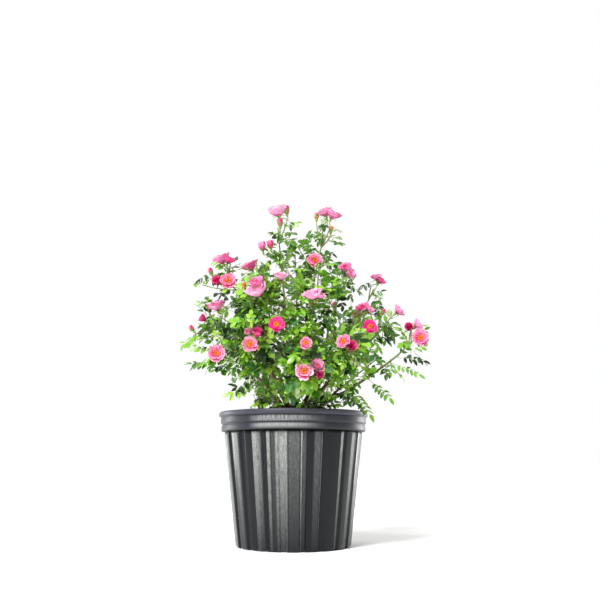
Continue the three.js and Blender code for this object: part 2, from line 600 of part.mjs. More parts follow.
// Everything in one spray: first its stem, stalks, shoots and side twigs, then the leaves on them. Twigs
// that stay bare are dropped.
function grow(spray, number) {
  const seed = SEED + 101 * number;
  const random = randomFrom(seed);
  const to = vector(spray.to);
  const arriving = CANES.get(spray.name).curve.getTangent(1);
  const start = vector(spray.from).addScaledVector(arriving, GAP);
  const control = start.clone().addScaledVector(arriving, 0.4 * start.distanceTo(to));
  const stem = limb(bent(start, control, to), taper(CANE_TIP_RADIUS, STEM_TIP_RADIUS, STEM_STEPS));
  const grown = { stem, twigs: [], leaves: [], blooms: [] };
  const leafy = [];
  const addTwig = (twig, habit) => {
    grown.twigs.push(twig);
    leafy.push([twig, habit]);
  };
  const addBloom = (place, isBud, size) => {
    const way = outwards(place);
    way.z += isBud ? 0.9 : 0.15;
    way.normalize();
    addTwig(stalkTo(stem, place, way), STALK_HABIT);
    grown.blooms.push({ place, way, isBud, size });
  };
  spray.roses.forEach((place) => addBloom(vector(place), false, 0.9 + 0.25 * random()));
  spray.buds.forEach((place) => addBloom(vector(place), true, 0.75 + 0.3 * random()));
  spray.shoots.forEach((tip) => addTwig(shootTo(spray, stem, vector(tip)), SHOOT_HABIT));
  const firstFace = Math.floor(3 * random());
  for (let i = 0; i < spray.twigs; i++) {
    const [slide, open, stretch] = [random(), random(), random()];
    const share = 0.05 + (0.88 * (i + 0.3 + 0.4 * slide)) / spray.twigs;
    const length = SIDE_TWIG_LENGTH * (0.7 + 0.5 * stretch);
    const twig = sideTwig(spray, stem, share, (firstFace + i) * THIRD_TURN, 0.8 + 0.45 * open, length);
    if (!twig) continue;
    const rose = { place: twig.curve.getPoint(1), way: twig.curve.getTangent(1), isBud: false, size: 1 };
    const rim = taper(0, 1, 6).map((turn) => (
      sideways(twig.curve, 1, 2 * Math.PI * turn).multiplyScalar(BLOOM_RADIUS + 1).add(rose.place)));
    const flowers = spray.everyNth && i % spray.everyNth === 0 && rim.every((point) => isFree(spray, point));
    addTwig(twig, flowers ? STALK_HABIT : TWIG_HABIT);
    if (flowers) grown.blooms.push(rose);
  }
  leafy.push([stem, STEM_HABIT]);
  leafy.forEach(([twig, habit], i) => plantLeaves(spray, grown, twig, randomFrom(seed + 7 * (i + 1)), habit));
  const carries = (twig) => grown.leaves.some((leaf) => leaf.twig === twig)
    || grown.blooms.some((bloom) => bloom.place.distanceTo(twig.curve.getPoint(1)) < BLOOM_RADIUS);
  grown.twigs = grown.twigs.filter(carries);
  return grown;
}

function spraySolid(spray, number) {
  const grown = grow(spray, number);
  return largestBody(wasm.Manifold.union([
    ...[grown.stem, ...grown.twigs].map((twig) => limbSolid(twig, TWIG_SIDES)),
    ...grown.leaves.map(leafSolid),
    ...grown.blooms.map(bloomSolid),
  ]).simplify(SMOOTHING));
}

function named(name, solid, finish) {
  const mesh = new THREE.Mesh(geometryOf(solid), finish);
  mesh.name = name;
  return mesh;
}

const rose = new THREE.Group();
rose.add(named("pot", pot(), materials.pot));
rose.add(named("soil", soil(), materials.soil));
rose.add(named("crown", crown(), materials.crown));

const taken = [crown(GAP)];
FORKED_LAST.forEach(({ name }) => {
  const cane = CANES.get(name);
  const cut = taken.reduce((solid, other) => solid.subtract(other), limbSolid(cane, CANE_SIDES));
  taken.push(limbSolid(cane, CANE_SIDES, GAP));
  rose.add(named(`cane_${name}`, largestBody(cut), materials.cane));
});
SPRAYS.forEach((spray, number) => {
  rose.add(named(`spray_${spray.name}`, spraySolid(spray, number), materials.spray));
});

export default rose;
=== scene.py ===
"""The looks of a shrub rose in full bloom in a fluted black nursery pot.

The scene is in metres. The plant and the pot are worked out in millimetres, as the solids are, and each mesh
is scaled by MM when it is made. Every spray grows again from its cane by the rule that made its solid, with
the same seeded draws, and then goes on to finer twigs and leaves inside the same space.
"""

import math

import bpy
import numpy as np
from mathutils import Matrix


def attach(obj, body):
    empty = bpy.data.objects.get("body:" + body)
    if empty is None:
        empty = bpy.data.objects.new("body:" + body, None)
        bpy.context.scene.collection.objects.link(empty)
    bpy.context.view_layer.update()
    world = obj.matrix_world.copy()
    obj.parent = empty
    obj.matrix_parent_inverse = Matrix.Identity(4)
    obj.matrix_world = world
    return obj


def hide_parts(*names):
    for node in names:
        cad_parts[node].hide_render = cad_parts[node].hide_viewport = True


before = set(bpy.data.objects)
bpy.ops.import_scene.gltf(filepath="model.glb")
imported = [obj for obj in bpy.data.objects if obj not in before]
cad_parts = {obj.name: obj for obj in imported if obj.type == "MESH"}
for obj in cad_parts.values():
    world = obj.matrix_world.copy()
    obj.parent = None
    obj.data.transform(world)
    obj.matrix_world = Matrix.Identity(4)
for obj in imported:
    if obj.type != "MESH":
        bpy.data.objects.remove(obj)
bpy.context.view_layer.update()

MM = 0.001
TURN = 2 * math.pi

# The camera stands where the photograph was taken from, low in front of the pot and tilted up.
CAMERA_PLACE = (0.0123, -1.435, 0.150)
CAMERA_PITCH = math.radians(12.19)
CAMERA_LENS = 45
CAMERA_SENSOR = 36
PICTURE = 600

# The pot, a trade number 3 nursery container.
RIM_RADIUS = 140
POT_HEIGHT = 241
BASE_RADIUS = 105
BODY_TOP_RADIUS = 129.5
BAND_BOTTOM = 205.5
BAND_SPLIT = 218
LIP_BOTTOM = 231.5
BAND_RADIUS = 136.5
ROLL_RADIUS = 135.5
WALL = 2
FLOOR = 4
FLUTES = 20
FLUTE_DEPTH = 3.6
DRAIN_HOLES = 6
DRAIN_RADIUS = 7
DRAIN_CIRCLE = 82

# The soil and the crown.
SOIL_TOP = 216
CROWN_HEIGHT = 30
CROWN_FLARE = 27
CROWN_WAIST = 19

# The rule of growth: clearances, limbs, twigs and leaves.
GAP = 0.35
CELL_MARGIN = 4
LIMB_MARGIN = 2.2
POT_MARGIN = 3
AXES = np.eye(3)
UP = AXES[2]
CROWN_CENTRE = np.array([0.0, 0.0, SOIL_TOP + 14])
BLOOM_CENTRE = np.array([20.0, 10.0, 330.0])
CANE_STEPS = 4
CANE_ROOT_RADIUS = 3.6
CANE_TIP_RADIUS = 1.9
STEM_STEPS = 3
STEM_TIP_RADIUS = 1.1
TWIG_RADII = (0.45, 1.3, 1)
THIRD_TURN = TURN / 3
SIDE_TWIG_LENGTH = 74
SHORTEST_TWIG = 16
SHOOT_REACH = 27
LEAF_SPACING = 22
LEAF_LENGTH = 60
LEAF_TRIES = ((0, 1), (1, 1), (2, 1), (0, 0.75), (1, 0.75), (2, 0.75), (0, 0.6))
LEAF_OUTLINE = ((0.34, 0.5), (0, 1), (-0.34, 0.5))
LEAF_RIDGE = (0, 0.5)
LEAF_DROOP = 0.1
# Where a twig's leaves begin and end, whether one is at its tip, and how large they are.
TWIG_HABIT = (0.15, 0.92, True, 1)
STALK_HABIT = (0.12, 0.78, False, 0.85)
SHOOT_HABIT = (0.2, 0.85, True, 1)
STEM_HABIT = (0.08, 0.95, True, 1)
SEED = 7300
BLOOM_RADIUS = 16


def rose(place, look, scale=1, facing=None):
    """One rose: where it is, its palette and form, its size, and the way that it faces if not outwards."""
    return {"place": place, "look": look, "scale": scale, "facing": facing}


def bud(place, scale=1, look="bud hot"):
    return rose(place, look, scale)


def spray(name, start, tip, reach, twigs, lift, roses=(), buds=(), shoots=(), **more):
    """One spray. start is where its cane ends, tip is its stem's tip, and reach is how far it spreads from
    that line. cane and fork say where its cane forks from another's. nth makes each nth side twig end in a
    rose, leaf scales its leaves, and fill is how many finer twigs it carries."""
    entry = {"name": name, "from": start, "to": tip, "reach": reach, "twigs": twigs, "lift": lift}
    entry |= {"roses": roses, "buds": buds, "shoots": shoots}
    return entry | {"cane": None, "fork": 0, "nth": 0, "leaf": 1, "fill": 10} | more


UPWARD = (0.05, -0.45, 0.9)
FRONT = (0.1, -0.95, 0.22)
FRONT_LEFT = (-0.3, -0.92, 0.2)
FRONT_RIGHT = (0.35, -0.9, 0.15)
BACK = (0.1, 0.95, 0.3)

SPRAYS = [
    spray("spire_left", (-22, 4, 500), (-32, 0, 608), 46, 5, 0.2,
          roses=[rose((-32, -2, 642), "pale cup", 1.26, (-0.15, -0.1, 1))],
          buds=[bud((-14, -4, 640), 1.2), bud((-27, -14, 611), 1.2),
                bud((-62, -22, 564), 1.3, "rose opening"), bud((-46, -26, 567), 1.4, "coral opening")],
          shoots=[(22, -6, 600), (-70, 6, 562), (-84, 2, 532)], fill=0),
    spray("spire_right", (38, 20, 490), (61, 8, 597), 50, 6, 0.2,
          roses=[rose((62, 2, 642), "rose cup", 1.2, (-0.3, -0.2, 0.9)),
                 rose((79, 0, 636), "rose cup", 1.2, (0.4, -0.3, 0.8)),
                 rose((41, -46, 529), "pink open", 0.9, FRONT)],
          buds=[bud((46, 4, 632), 1.1, "bud coral"), bud((74, -6, 601), 1.1, "bud coral")],
          shoots=[(92, 4, 584), (20, -4, 572)], fill=2),
    spray("shoulder_left", (-84, -36, 440), (-130, -42, 510), 56, 5, 0.2,
          roses=[rose((-139, -46, 531), "rose cup", 1.1, (-0.4, -0.2, 0.9)),
                 rose((-123, -56, 527), "hot cup", 0.88, (0.35, -0.3, 0.9)),
                 rose((-144, -66, 483), "hot half", 1.05, FRONT_LEFT),
                 rose((-121, -86, 478), "pink open", 0.86, FRONT), rose((-82, -62, 513), "rose cup", 1)],
          buds=[bud((-158, -46, 505))], shoots=[(-182, -34, 490)], fill=3),
    spray("flank_left_up", (-110, -14, 380), (-172, -8, 418), 48, 5, 0.2,
          cane="shoulder_left", fork=0.5,
          roses=[rose((-146, -40, 440), "pink cup", 1.15, (-0.2, -0.5, 0.8)),
                 rose((-176, -22, 420), "hot half")],
          buds=[bud((-195, -14, 400), 1.1)], shoots=[(-204, -12, 376)], fill=3),
    spray("flank_left_low", (-88, -34, 322), (-148, -38, 348), 44, 5, 0.08,
          roses=[rose((-139, -92, 342), "pink open", 0.89, FRONT)],
          shoots=[(-186, -36, 331), (-130, -30, 272)], fill=6),
    spray("heart_left", (-36, -48, 400), (-60, -108, 446), 64, 7, 0.15,
          cane="spire_left", fork=0.45,
          roses=[rose((-62, -168, 440), "pale cup", 1.25, (-0.35, -0.5, 0.75)),
                 rose((-64, -160, 458), "pink cup", 0.85), rose((-22, -138, 474), "pale cup", 0.95, UPWARD)],
          buds=[bud((-86, -152, 452), 1, "bud coral")], fill=32),
    spray("front_left", (-44, -82, 322), (-70, -142, 360), 60, 7, 0.08,
          roses=[rose((-28, -192, 377), "hot open", 0.9, FRONT),
                 rose((-72, -180, 345), "pale open", 0.95, FRONT),
                 rose((-60, -186, 365), "hot half", 0.95, (0.1, -0.7, 0.7)),
                 rose((-76, -176, 367), "pink half", 0.85)],
          fill=36),
    spray("front_low", (16, -80, 288), (26, -146, 316), 58, 7, 0.05,
          roses=[rose((19, -190, 298), "pale open", 0.92, FRONT),
                 rose((42, -188, 308), "pink cup", 0.68, (0.3, -0.8, 0.5)),
                 rose((44, -184, 293), "hot half", 1, FRONT_RIGHT),
                 rose((22, -200, 344), "pink open", 0.57, FRONT)],
          fill=40),
    spray("heart_right", (34, -46, 405), (44, -104, 452), 64, 7, 0.15,
          cane="spire_right", fork=0.45,
          roses=[rose((34, -172, 433), "pale cup", 1.02, (-0.25, -0.4, 0.85)),
                 rose((46, -168, 433), "pale cup", 0.78, (0.4, -0.4, 0.8))],
          fill=32),
    spray("front_right", (62, -74, 322), (92, -132, 350), 58, 7, 0.08,
          roses=[rose((85, -186, 349), "pink open", 0.8, FRONT_LEFT),
                 rose((99, -176, 342), "hot half", 1.05, FRONT)],
          fill=34),
    spray("shoulder_right", (76, -6, 432), (104, -22, 500), 54, 6, 0.2,
          cane="flank_right_up", fork=0.5,
          roses=[rose((99, -42, 515), "rose cup", 0.8, (-0.3, -0.6, 0.7)),
                 rose((108, -46, 502), "pink cup", 0.8, (0.5, -0.6, 0.6))],
          shoots=[(76, -30, 548), (128, -20, 536)], fill=5),
    spray("flank_right_up", (114, 6, 398), (158, 6, 484), 48, 5, 0.15,
          roses=[rose((162, -4, 506), "rose cup", 0.68, (-0.2, -0.3, 0.9)),
                 rose((172, -6, 498), "hot cup", 0.7, (0.6, -0.4, 0.6))],
          shoots=[(184, 2, 508), (188, 4, 468)], fill=0),
    spray("flank_right_mid", (108, -38, 338), (182, -30, 408), 52, 7, 0.08,
          roses=[rose((128, -72, 431), "rose cup", 0.72, (-0.3, -0.6, 0.7)),
                 rose((142, -74, 427), "pink cup", 0.72), rose((140, -92, 391), "hot open", 0.85, FRONT),
                 rose((203, -22, 434), "rose cup", 0.85)],
          buds=[bud((168, -52, 425))], shoots=[(214, -26, 410)], fill=9),
    spray("far_right", (180, -26, 334), (232, -28, 380), 44, 4, -0.05,
          roses=[rose((220, -30, 401), "hot half", 0.95, FRONT_LEFT), rose((238, -26, 406), "pink cup", 0.95),
                 rose((236, -56, 376), "pink open", 1, FRONT)],
          shoots=[(252, -28, 412), (242, -30, 304), (252, -26, 336), (190, -28, 296)], fill=0),
    spray("right_low", (88, -58, 284), (154, -56, 336), 44, 6, -0.08,
          cane="far_right", fork=0.3, shoots=[(146, -92, 226), (180, -58, 256)], fill=3),
    spray("heart_low", (-2, -50, 318), (4, -100, 382), 68, 9, 0.1, leaf=0.72, fill=48),
    spray("back_top", (4, 62, 440), (8, 82, 532), 66, 7, 0.2,
          nth=3, cane="back_right", fork=0.5, roses=[rose((2, 88, 558), "pink cup", 0.6, BACK)], fill=8),
    spray("back_left", (-70, 62, 366), (-110, 106, 428), 72, 7, 0.12,
          nth=4, roses=[rose((-120, 116, 458), "pale cup", 0.8, BACK)], fill=12),
    spray("back_right", (80, 66, 362), (122, 108, 424), 72, 7, 0.12,
          nth=4, roses=[rose((132, 118, 454), "rose cup", 0.8, BACK)], fill=12),
    spray("back_low_left", (-58, 82, 292), (-82, 144, 326), 58, 7, 0.08, nth=4, fill=12),
    spray("back_low_right", (60, 86, 292), (86, 146, 328), 58, 7, 0.08, nth=4, fill=12),
    spray("skirt_left", (-30, -36, 262), (-50, -94, 268), 38, 8, 0.02, leaf=0.6, fill=44),
    spray("skirt_right", (26, -36, 262), (38, -92, 266), 38, 8, 0.02, leaf=0.6, fill=44),
]

NTH_LOOKS = ("pink open", "pale open", "rose cup", "hot open", "pink cup")

# Leaves that hang or stand out from the outskirts, as the places of their tips, by the spray that bears them.
# Those with a second place start from near it, the others from whatever is nearest.
SPRIGS = {
    "spire_left": (
        (16, 0, 619), (-50, -8, 594), (-20, -6, 626), (-43, -10, 532), (-58, -14, 560), (-30, -14, 575),
        (-4, -8, 602), (-14, -20, 556), (-22, -10, 540), (0, 0, 548), (-6, 0, 530), (12, 0, 562),
        (-8, 0, 545), (-43, 0, 580), (-39, 0, 562), (-16, -8, 611),
    ),
    "spire_right": (
        (38, 10, 594), (48, 6, 572), (22, 0, 578), (56, -8, 618), (44, 8, 606, 58, 8, 590), (70, 0, 560),
        (84, 0, 548), (44, 0, 563), (33, 0, 601), (62, 0, 601), (76, 0, 541), (-3, 0, 519),
    ),
    "shoulder_left": (
        (-188, -50, 484, -160, -46, 500), (-140, -56, 508, -130, -44, 520), (-121, 0, 476), (-112, -40, 510),
    ),
    "flank_left_up": (
        (-169, -30, 440), (-188, -20, 456), (-156, -30, 424), (-196, -30, 386), (-144, -40, 374),
        (-186, -30, 411), (-187, -30, 395),
    ),
    "flank_left_low": (
        (-172, -60, 322), (-150, -56, 392), (-170, -50, 400), (-107, -60, 306), (-152, -60, 314),
        (-212, -40, 370, -168, -44, 367), (-196, -60, 326, -150, -50, 330),
    ),
    "front_left": ((-26, -134, 320), (-54, -128, 314), (-40, -130, 303), (-65, -120, 298), (-48, -124, 312)),
    "front_low": (
        (-2, -134, 306), (12, -130, 276), (36, -140, 300), (16, -120, 261), (-23, -130, 310), (9, -130, 293),
        (33, -130, 302),
    ),
    "front_right": ((44, -140, 362),),
    "shoulder_right": (
        (106, -14, 488), (118, -20, 487), (120, -16, 474), (136, -18, 466), (116, -14, 454), (96, -10, 436),
        (113, 0, 530), (81, -20, 413),
    ),
    "flank_right_up": (
        (128, -8, 478), (180, -4, 478, 158, 0, 470), (166, -6, 455, 150, 0, 440), (169, 0, 460),
    ),
    "back_top": ((2, 58, 566), (-10, 60, 548)),
    "flank_right_mid": (
        (150, -62, 346), (134, -60, 332), (160, -58, 326, 140, -50, 360), (142, -60, 356), (138, -50, 414),
        (166, -46, 372), (190, -40, 384), (192, -34, 402), (184, -40, 364, 160, -40, 380),
        (166, -50, 350, 150, -40, 370), (194, -30, 370), (158, 0, 422),
    ),
    "far_right": (
        (252, -40, 331, 190, -26, 342), (258, -30, 402), (120, -54, 250, 92, -15, 276),
        (172, -46, 300, 160, -24, 320), (206, -30, 392, 215, -28, 360), (222, -34, 372, 206, -28, 356),
        (250, -30, 400, 236, -28, 386), (243, -40, 304, 180, -26, 334), (183, -50, 258, 140, -22, 309),
        (144, -60, 226, 105, -17, 287), (180, -40, 305), (193, -30, 403), (258, -20, 409), (256, -20, 370),
    ),
    "skirt_left": (
        (-44, -120, 264), (-58, -118, 277), (-31, -124, 290), (-16, -124, 269), (-54, -120, 252),
        (-5, -126, 283), (-19, -122, 249), (-62, -112, 286), (-36, -118, 280), (-50, -116, 294),
        (-115, -90, 286), (-124, -95, 264, -92, -84, 290), (-68, -118, 246),
    ),
    "skirt_right": (
        (78, -118, 246), (74, -112, 258, 60, -80, 270), (5, -126, 259), (19, -124, 247), (37, -124, 255),
        (51, -122, 262), (80, -100, 256), (85, -104, 247),
    ),
    "heart_low": ((-44, -150, 326), (8, -156, 318), (-10, -154, 338)),
    "right_low": (
        (77, -80, 270), (91, -90, 260), (92, -92, 248), (106, -80, 266), (116, -80, 255), (151, -50, 328),
        (157, -50, 313), (162, -60, 341), (90, -78, 284), (112, -78, 304), (133, -70, 329),
        (85, -80, 298, 78, -54, 276),
    ),
    "heart_right": ((55, -60, 381),),
}

# Where the sky shows between the leaves, as circles in the picture: across, down and radius, in pixels.
OPENINGS = np.array([
    (223, 247, 5), (254, 252, 5), (234, 252, 6), (303, 230, 4), (332, 250, 7), (345, 259, 5), (360, 265, 10),
    (367, 259, 6), (388, 290, 7), (387, 302, 6), (345, 304, 6), (238, 277, 4), (211, 262, 4), (197, 355, 5),
    (204, 358, 5), (219, 377, 6), (220, 388, 6), (220, 402, 7), (240, 383, 4), (240, 406, 8), (274, 267, 4),
    (337, 325, 3), (403, 320, 5), (418, 353, 7), (429, 367, 4), (373, 341, 4), (362, 370, 5), (375, 378, 6),
    (383, 383, 6), (358, 391, 6), (370, 395, 7), (382, 402, 7), (397, 387, 5), (417, 384, 5), (424, 391, 4),
    (350, 380, 4), (327, 390, 3), (333, 396, 3), (343, 392, 4), (344, 401, 4), (353, 407, 5), (386, 412, 6),
    (256, 406, 3), (262, 234, 5), (330, 286, 3), (281, 286, 3), (343, 286, 3), (398, 363, 4), (416, 367, 5),
    (424, 367, 4), (226, 380, 4), (229, 398, 5), (205, 312, 3), (266, 408, 3), (327, 406, 3), (293, 228, 4),
    (344, 260, 4), (303, 262, 3), (318, 281, 6), (241, 260, 5), (250, 261, 4), (226, 268, 4), (205, 343, 4),
    (214, 377, 5), (361, 354, 3), (323, 386, 4), (328, 405, 4), (320, 405, 3), (273, 400, 4), (190, 289, 4),
    (206, 290, 4), (356, 270, 6), (236, 248, 4), (274, 271, 5), (270, 280, 3), (250, 398, 7), (355, 390, 4),
    (384, 377, 4), (272, 224, 3), (297, 261, 4), (232, 313, 5), (196, 310, 4), (406, 363, 4), (334, 303, 6),
    (343, 305, 4), (374, 346, 7),
])


# Numbers and vectors

def random_from(seed):
    """A seeded generator of numbers from 0 to 1, mulberry32."""
    full = 0xFFFFFFFF
    state = seed & full

    def draw():
        nonlocal state
        state = (state + 0x6D2B79F5) & full
        t = state
        t = ((t ^ (t >> 15)) * (t | 1)) & full
        t ^= (t + (((t ^ (t >> 7)) * (t | 61)) & full)) & full
        return ((t ^ (t >> 14)) & full) / 4294967296

    return draw


def vector(place):
    return np.array(place, float)


def unit(v):
    return v / max(np.linalg.norm(v), 1e-12)


def mix(a, b, share):
    return a + (b - a) * share


def taper(first, last, steps):
    return [mix(first, last, i / steps) for i in range(steps + 1)]


def clamp(x, low, high):
    return max(low, min(high, x))


def smooth(x):
    x = np.clip(x, 0, 1)
    return x * x * (3 - 2 * x)


def least_axis(way):
    """The axis that a way runs along least."""
    return AXES[int(np.argmin(np.abs(way)))]


def angles_round(count):
    return np.arange(count) * TURN / count


def turned_about(v, axis, angle):
    """v turned about a unit axis."""
    c, s = math.cos(angle), math.sin(angle)
    return v * c + np.cross(axis, v) * s + axis * (axis @ v) * (1 - c)


def distances(points, starts, ends):
    """The distance from each point to each of the lines."""
    along = ends - starts
    share = ((points[:, None] - starts) * along).sum(2) / (along * along).sum(1)
    nearest = starts + np.clip(share, 0, 1)[..., None] * along
    return np.linalg.norm(points[:, None] - nearest, axis=2)


def any_cross(edges, triangles):
    """True if one of the edges goes through one of the triangles."""
    start = edges[:, None, 0]
    way = edges[:, None, 1] - start
    corner, side_a, side_b = triangles[None, :, 0], triangles[None, :, 1], triangles[None, :, 2]
    side_a, side_b = side_a - corner, side_b - corner
    normal = np.cross(side_a, side_b)
    slope = (way * normal).sum(2)
    sign, slope = np.sign(slope), np.abs(slope)
    offset = start - corner
    u = sign * (way * np.cross(offset, side_b)).sum(2)
    v = sign * (way * np.cross(side_a, offset)).sum(2)
    t = -sign * (offset * normal).sum(2)
    return bool(((sign != 0) & (u >= 0) & (v >= 0) & (u + v <= slope) & (t >= 0) & (t < slope)).any())


def seen_from_the_front(places):
    """Where places are in the picture, in pixels of 600 across and down."""
    offset = np.atleast_2d(places) - vector(CAMERA_PLACE) / MM
    c, s = math.cos(CAMERA_PITCH), math.sin(CAMERA_PITCH)
    ahead = offset[:, 1] * c + offset[:, 2] * s
    above = offset[:, 2] * c - offset[:, 1] * s
    scale = PICTURE * CAMERA_LENS / CAMERA_SENSOR / ahead
    return np.stack([PICTURE / 2 + offset[:, 0] * scale, PICTURE / 2 - above * scale], 1)


def in_an_opening(places, beside=0):
    apart = np.linalg.norm(seen_from_the_front(places)[:, None] - OPENINGS[:, :2], axis=2)
    return (apart < OPENINGS[:, 2] + beside).any(1)


# Limbs

class Limb:
    """A quadratic curve, with its radius at even steps along it."""

    def __init__(self, root, control, end, radii):
        self.root, self.control, self.end, self.radii = root, control, end, radii
        self.rings = self.run(np.linspace(0, 1, len(radii)))

    def at(self, share):
        back = 1 - share
        return back * back * self.root + 2 * back * share * self.control + share * share * self.end

    def run(self, shares):
        return np.array([self.at(share) for share in shares])

    def tangent(self, share):
        step = 1e-4
        return unit(self.at(min(share + step, 1)) - self.at(max(share - step, 0)))

    def length(self):
        return np.linalg.norm(np.diff(self.run(taper(0, 1, 200)), axis=0), axis=1).sum()

    def place_on(self, share):
        """The place at a share of its length, on the straight run between two of its rings."""
        steps = len(self.radii) - 1
        ring = min(int(share * steps), steps - 1)
        return mix(self.rings[ring], self.rings[ring + 1], share * steps - ring)

    def sideways(self, share, angle):
        """A direction square to it, from the axis that it runs along least."""
        along = self.tangent(share)
        return turned_about(unit(np.cross(along, least_axis(self.end - self.root))), along, angle)

    def away(self, share, angle, spread):
        """The way of what leaves it at a share and an angle round it, spread from its own way."""
        return self.tangent(share) * math.cos(spread) + self.sideways(share, angle) * math.sin(spread)

    def radius_at(self, share):
        return np.interp(share, np.linspace(0, 1, len(self.radii)), self.radii)


def cane_of(entry):
    """A spray's cane, which leaves the crown or another cane and arrives along the spray's stem."""
    start = vector(entry["from"])
    arriving = unit(vector(entry["to"]) - start)
    if entry["cane"]:
        root, root_radius = CANES[entry["cane"]].place_on(entry["fork"]), CANE_TIP_RADIUS + 0.6
    else:
        root, root_radius = CROWN_CENTRE + unit(start - CROWN_CENTRE) * (1, 1, 0.5) * 9, CANE_ROOT_RADIUS
    control = start - arriving * 0.42 * np.linalg.norm(start - root)
    if not entry["cane"]:
        control = mix(control, mix(root, start, 0.5), 0.4)
    control[2] = max(control[2], min(start[2], POT_HEIGHT + 6))
    return Limb(root, control, start, taper(root_radius, CANE_TIP_RADIUS, CANE_STEPS))


CANES = {}
for entry in sorted(SPRAYS, key=lambda entry: entry["cane"] is not None):
    CANES[entry["name"]] = cane_of(entry)
CANE_STARTS = np.concatenate([cane.rings[:-1] for cane in CANES.values()])
CANE_ENDS = np.concatenate([cane.rings[1:] for cane in CANES.values()])
CANE_CLEAR = np.concatenate([cane.radii[:-1] for cane in CANES.values()]) + LIMB_MARGIN


# The sprays' own spaces

def capsules_of(entry):
    """A capsule round the spray's stem, and a slim one out to the tip of each shoot."""
    start, end = vector(entry["from"]), vector(entry["to"])
    along = end - start
    found = [(start, end, entry["reach"])]
    for tip in map(vector, entry["shoots"]):
        share = clamp(((tip - start) @ along) / (along @ along), 0, 1)
        found.append((start + along * share, tip, SHOOT_REACH))
    return found


CAPSULES = [capsules_of(entry) for entry in SPRAYS]
CAPSULE_STARTS, CAPSULE_ENDS, CAPSULE_REACH = map(np.array, zip(*sum(CAPSULES, [])))
CAPSULE_FIRST = np.cumsum([0] + [len(found) for found in CAPSULES])[:-1]


def inner_radius(z):
    at_band = BODY_TOP_RADIUS - FLUTE_DEPTH - WALL
    at_floor = BASE_RADIUS - FLUTE_DEPTH - WALL
    return at_floor + (at_band - at_floor) * (z - FLOOR) / (BAND_BOTTOM - FLOOR)


def are_free(number, points, margin=CELL_MARGIN, slack=0):
    """Which points are in a spray's own space: nearer to it than to others, off the pot and off the canes."""
    outside = distances(points, CAPSULE_STARTS, CAPSULE_ENDS) - CAPSULE_REACH
    by_spray = np.minimum.reduceat(outside, CAPSULE_FIRST, axis=1)
    own = by_spray[:, number].copy()
    by_spray[:, number] = np.inf
    radius = np.hypot(points[:, 0], points[:, 1])
    off_the_pot = (points[:, 2] >= POT_HEIGHT + POT_MARGIN) | (radius > RIM_RADIUS + POT_MARGIN)
    off_the_pot |= (radius < inner_radius(BAND_BOTTOM) - POT_MARGIN) & (points[:, 2] > SOIL_TOP + 6)
    clear = (distances(points, CANE_STARTS, CANE_ENDS) > CANE_CLEAR - slack).all(1)
    return (own <= 0) & (by_spray.min(1) >= own + margin) & off_the_pot & clear


def outwards(place):
    return unit(place - BLOOM_CENTRE)


# Leaves, as the solids have them

class Leaf:
    """One leaf on its twig, from its root. Its upper side faces up as far as the way it points allows."""

    def __init__(self, twig, root, way, up, length):
        self.twig, self.root, self.way, self.length = twig, root, unit(way), length
        self.normal = unit(up - self.way * (up @ self.way))
        self.wide = np.cross(self.way, self.normal)

    def place(self, across, along):
        lift = -LEAF_DROOP * along * along
        return self.root + (self.wide * across + self.way * along + self.normal * lift) * self.length

    def corners(self):
        return [self.place(*place) for place in (*LEAF_OUTLINE, LEAF_RIDGE)]

    def net(self):
        """The lines that bound and cross it, and its two halves."""
        right, tip, left, middle = self.corners()
        foot = mix(self.root, middle, 0.12)
        edges = [(foot, tip), (left, right), (foot, left), (foot, right), (left, tip), (right, tip)]
        return np.array(edges), np.array([(foot, right, tip), (foot, left, tip)])


def has_room(number, grown, leaf):
    """True if a leaf keeps to the spray's space and crosses no leaf, no rose and no twig but its own."""
    right, tip, left, middle = leaf.corners()
    points = [right, tip, left, middle] + [mix(leaf.root, side, 0.6) for side in (right, left)]
    points = np.array(points + [mix(side, tip, 0.5) for side in (right, left, middle)])
    if not are_free(number, points).all():
        return False
    for bloom in grown["blooms"]:
        if (np.linalg.norm(points - bloom["place"], axis=1) < BLOOM_RADIUS * bloom["size"]).any():
            return False
    edges, halves = leaf.net()
    near = [other for other in grown["leaves"] if np.linalg.norm(other.root - leaf.root) <= 2 * LEAF_LENGTH]
    near = [other.net() for other in near]
    if near and any_cross(edges, np.concatenate([other_halves for _, other_halves in near])):
        return False
    lines = [other_edges for other_edges, _ in near]
    others = [twig.rings for twig in (grown["stem"], *grown["twigs"]) if twig is not leaf.twig]
    lines += [np.stack([rings[:-1], rings[1:]], 1) for rings in others]
    return not lines or not any_cross(np.concatenate(lines), halves)


def plant_leaves(number, grown, twig, random, habit):
    """Plants the leaves along one twig of the spray, on its three faces in turn."""
    first, last, at_tip, size = habit
    count = max(1, math.floor((last - first) * twig.length() / LEAF_SPACING + 0.5))
    first_face = math.floor(3 * random())
    for i in range(count + at_tip):
        turn, opens, droop, lengthen, tilt, yaw = [random() for _ in range(6)]
        share, spread = first + (last - first) * (i + 0.5) / count, 0.85 + 0.45 * opens
        if i == count:
            share, spread = 1, 0.15
        root = twig.place_on(share)
        up = vector((1.6 * (tilt - 0.5), 1.6 * (yaw - 0.5), 0.8)) + outwards(root) * 0.7
        length = LEAF_LENGTH * SPRAYS[number]["leaf"] * size * (0.82 + 0.3 * lengthen)
        for spin, shrink in LEAF_TRIES:
            way = twig.away(share, (first_face + i + spin) * THIRD_TURN + 0.5 * (turn - 0.5), spread)
            way[2] -= 0.12 + 0.3 * droop
            leaf = Leaf(twig, root, way, up, length * shrink)
            if has_room(number, grown, leaf):
                grown["leaves"].append(leaf)
                break


# Stalks, shoots and side twigs

def nearest_share(stem, place):
    return min(taper(0, 1, 20), key=lambda share: np.linalg.norm(stem.place_on(share) - place))


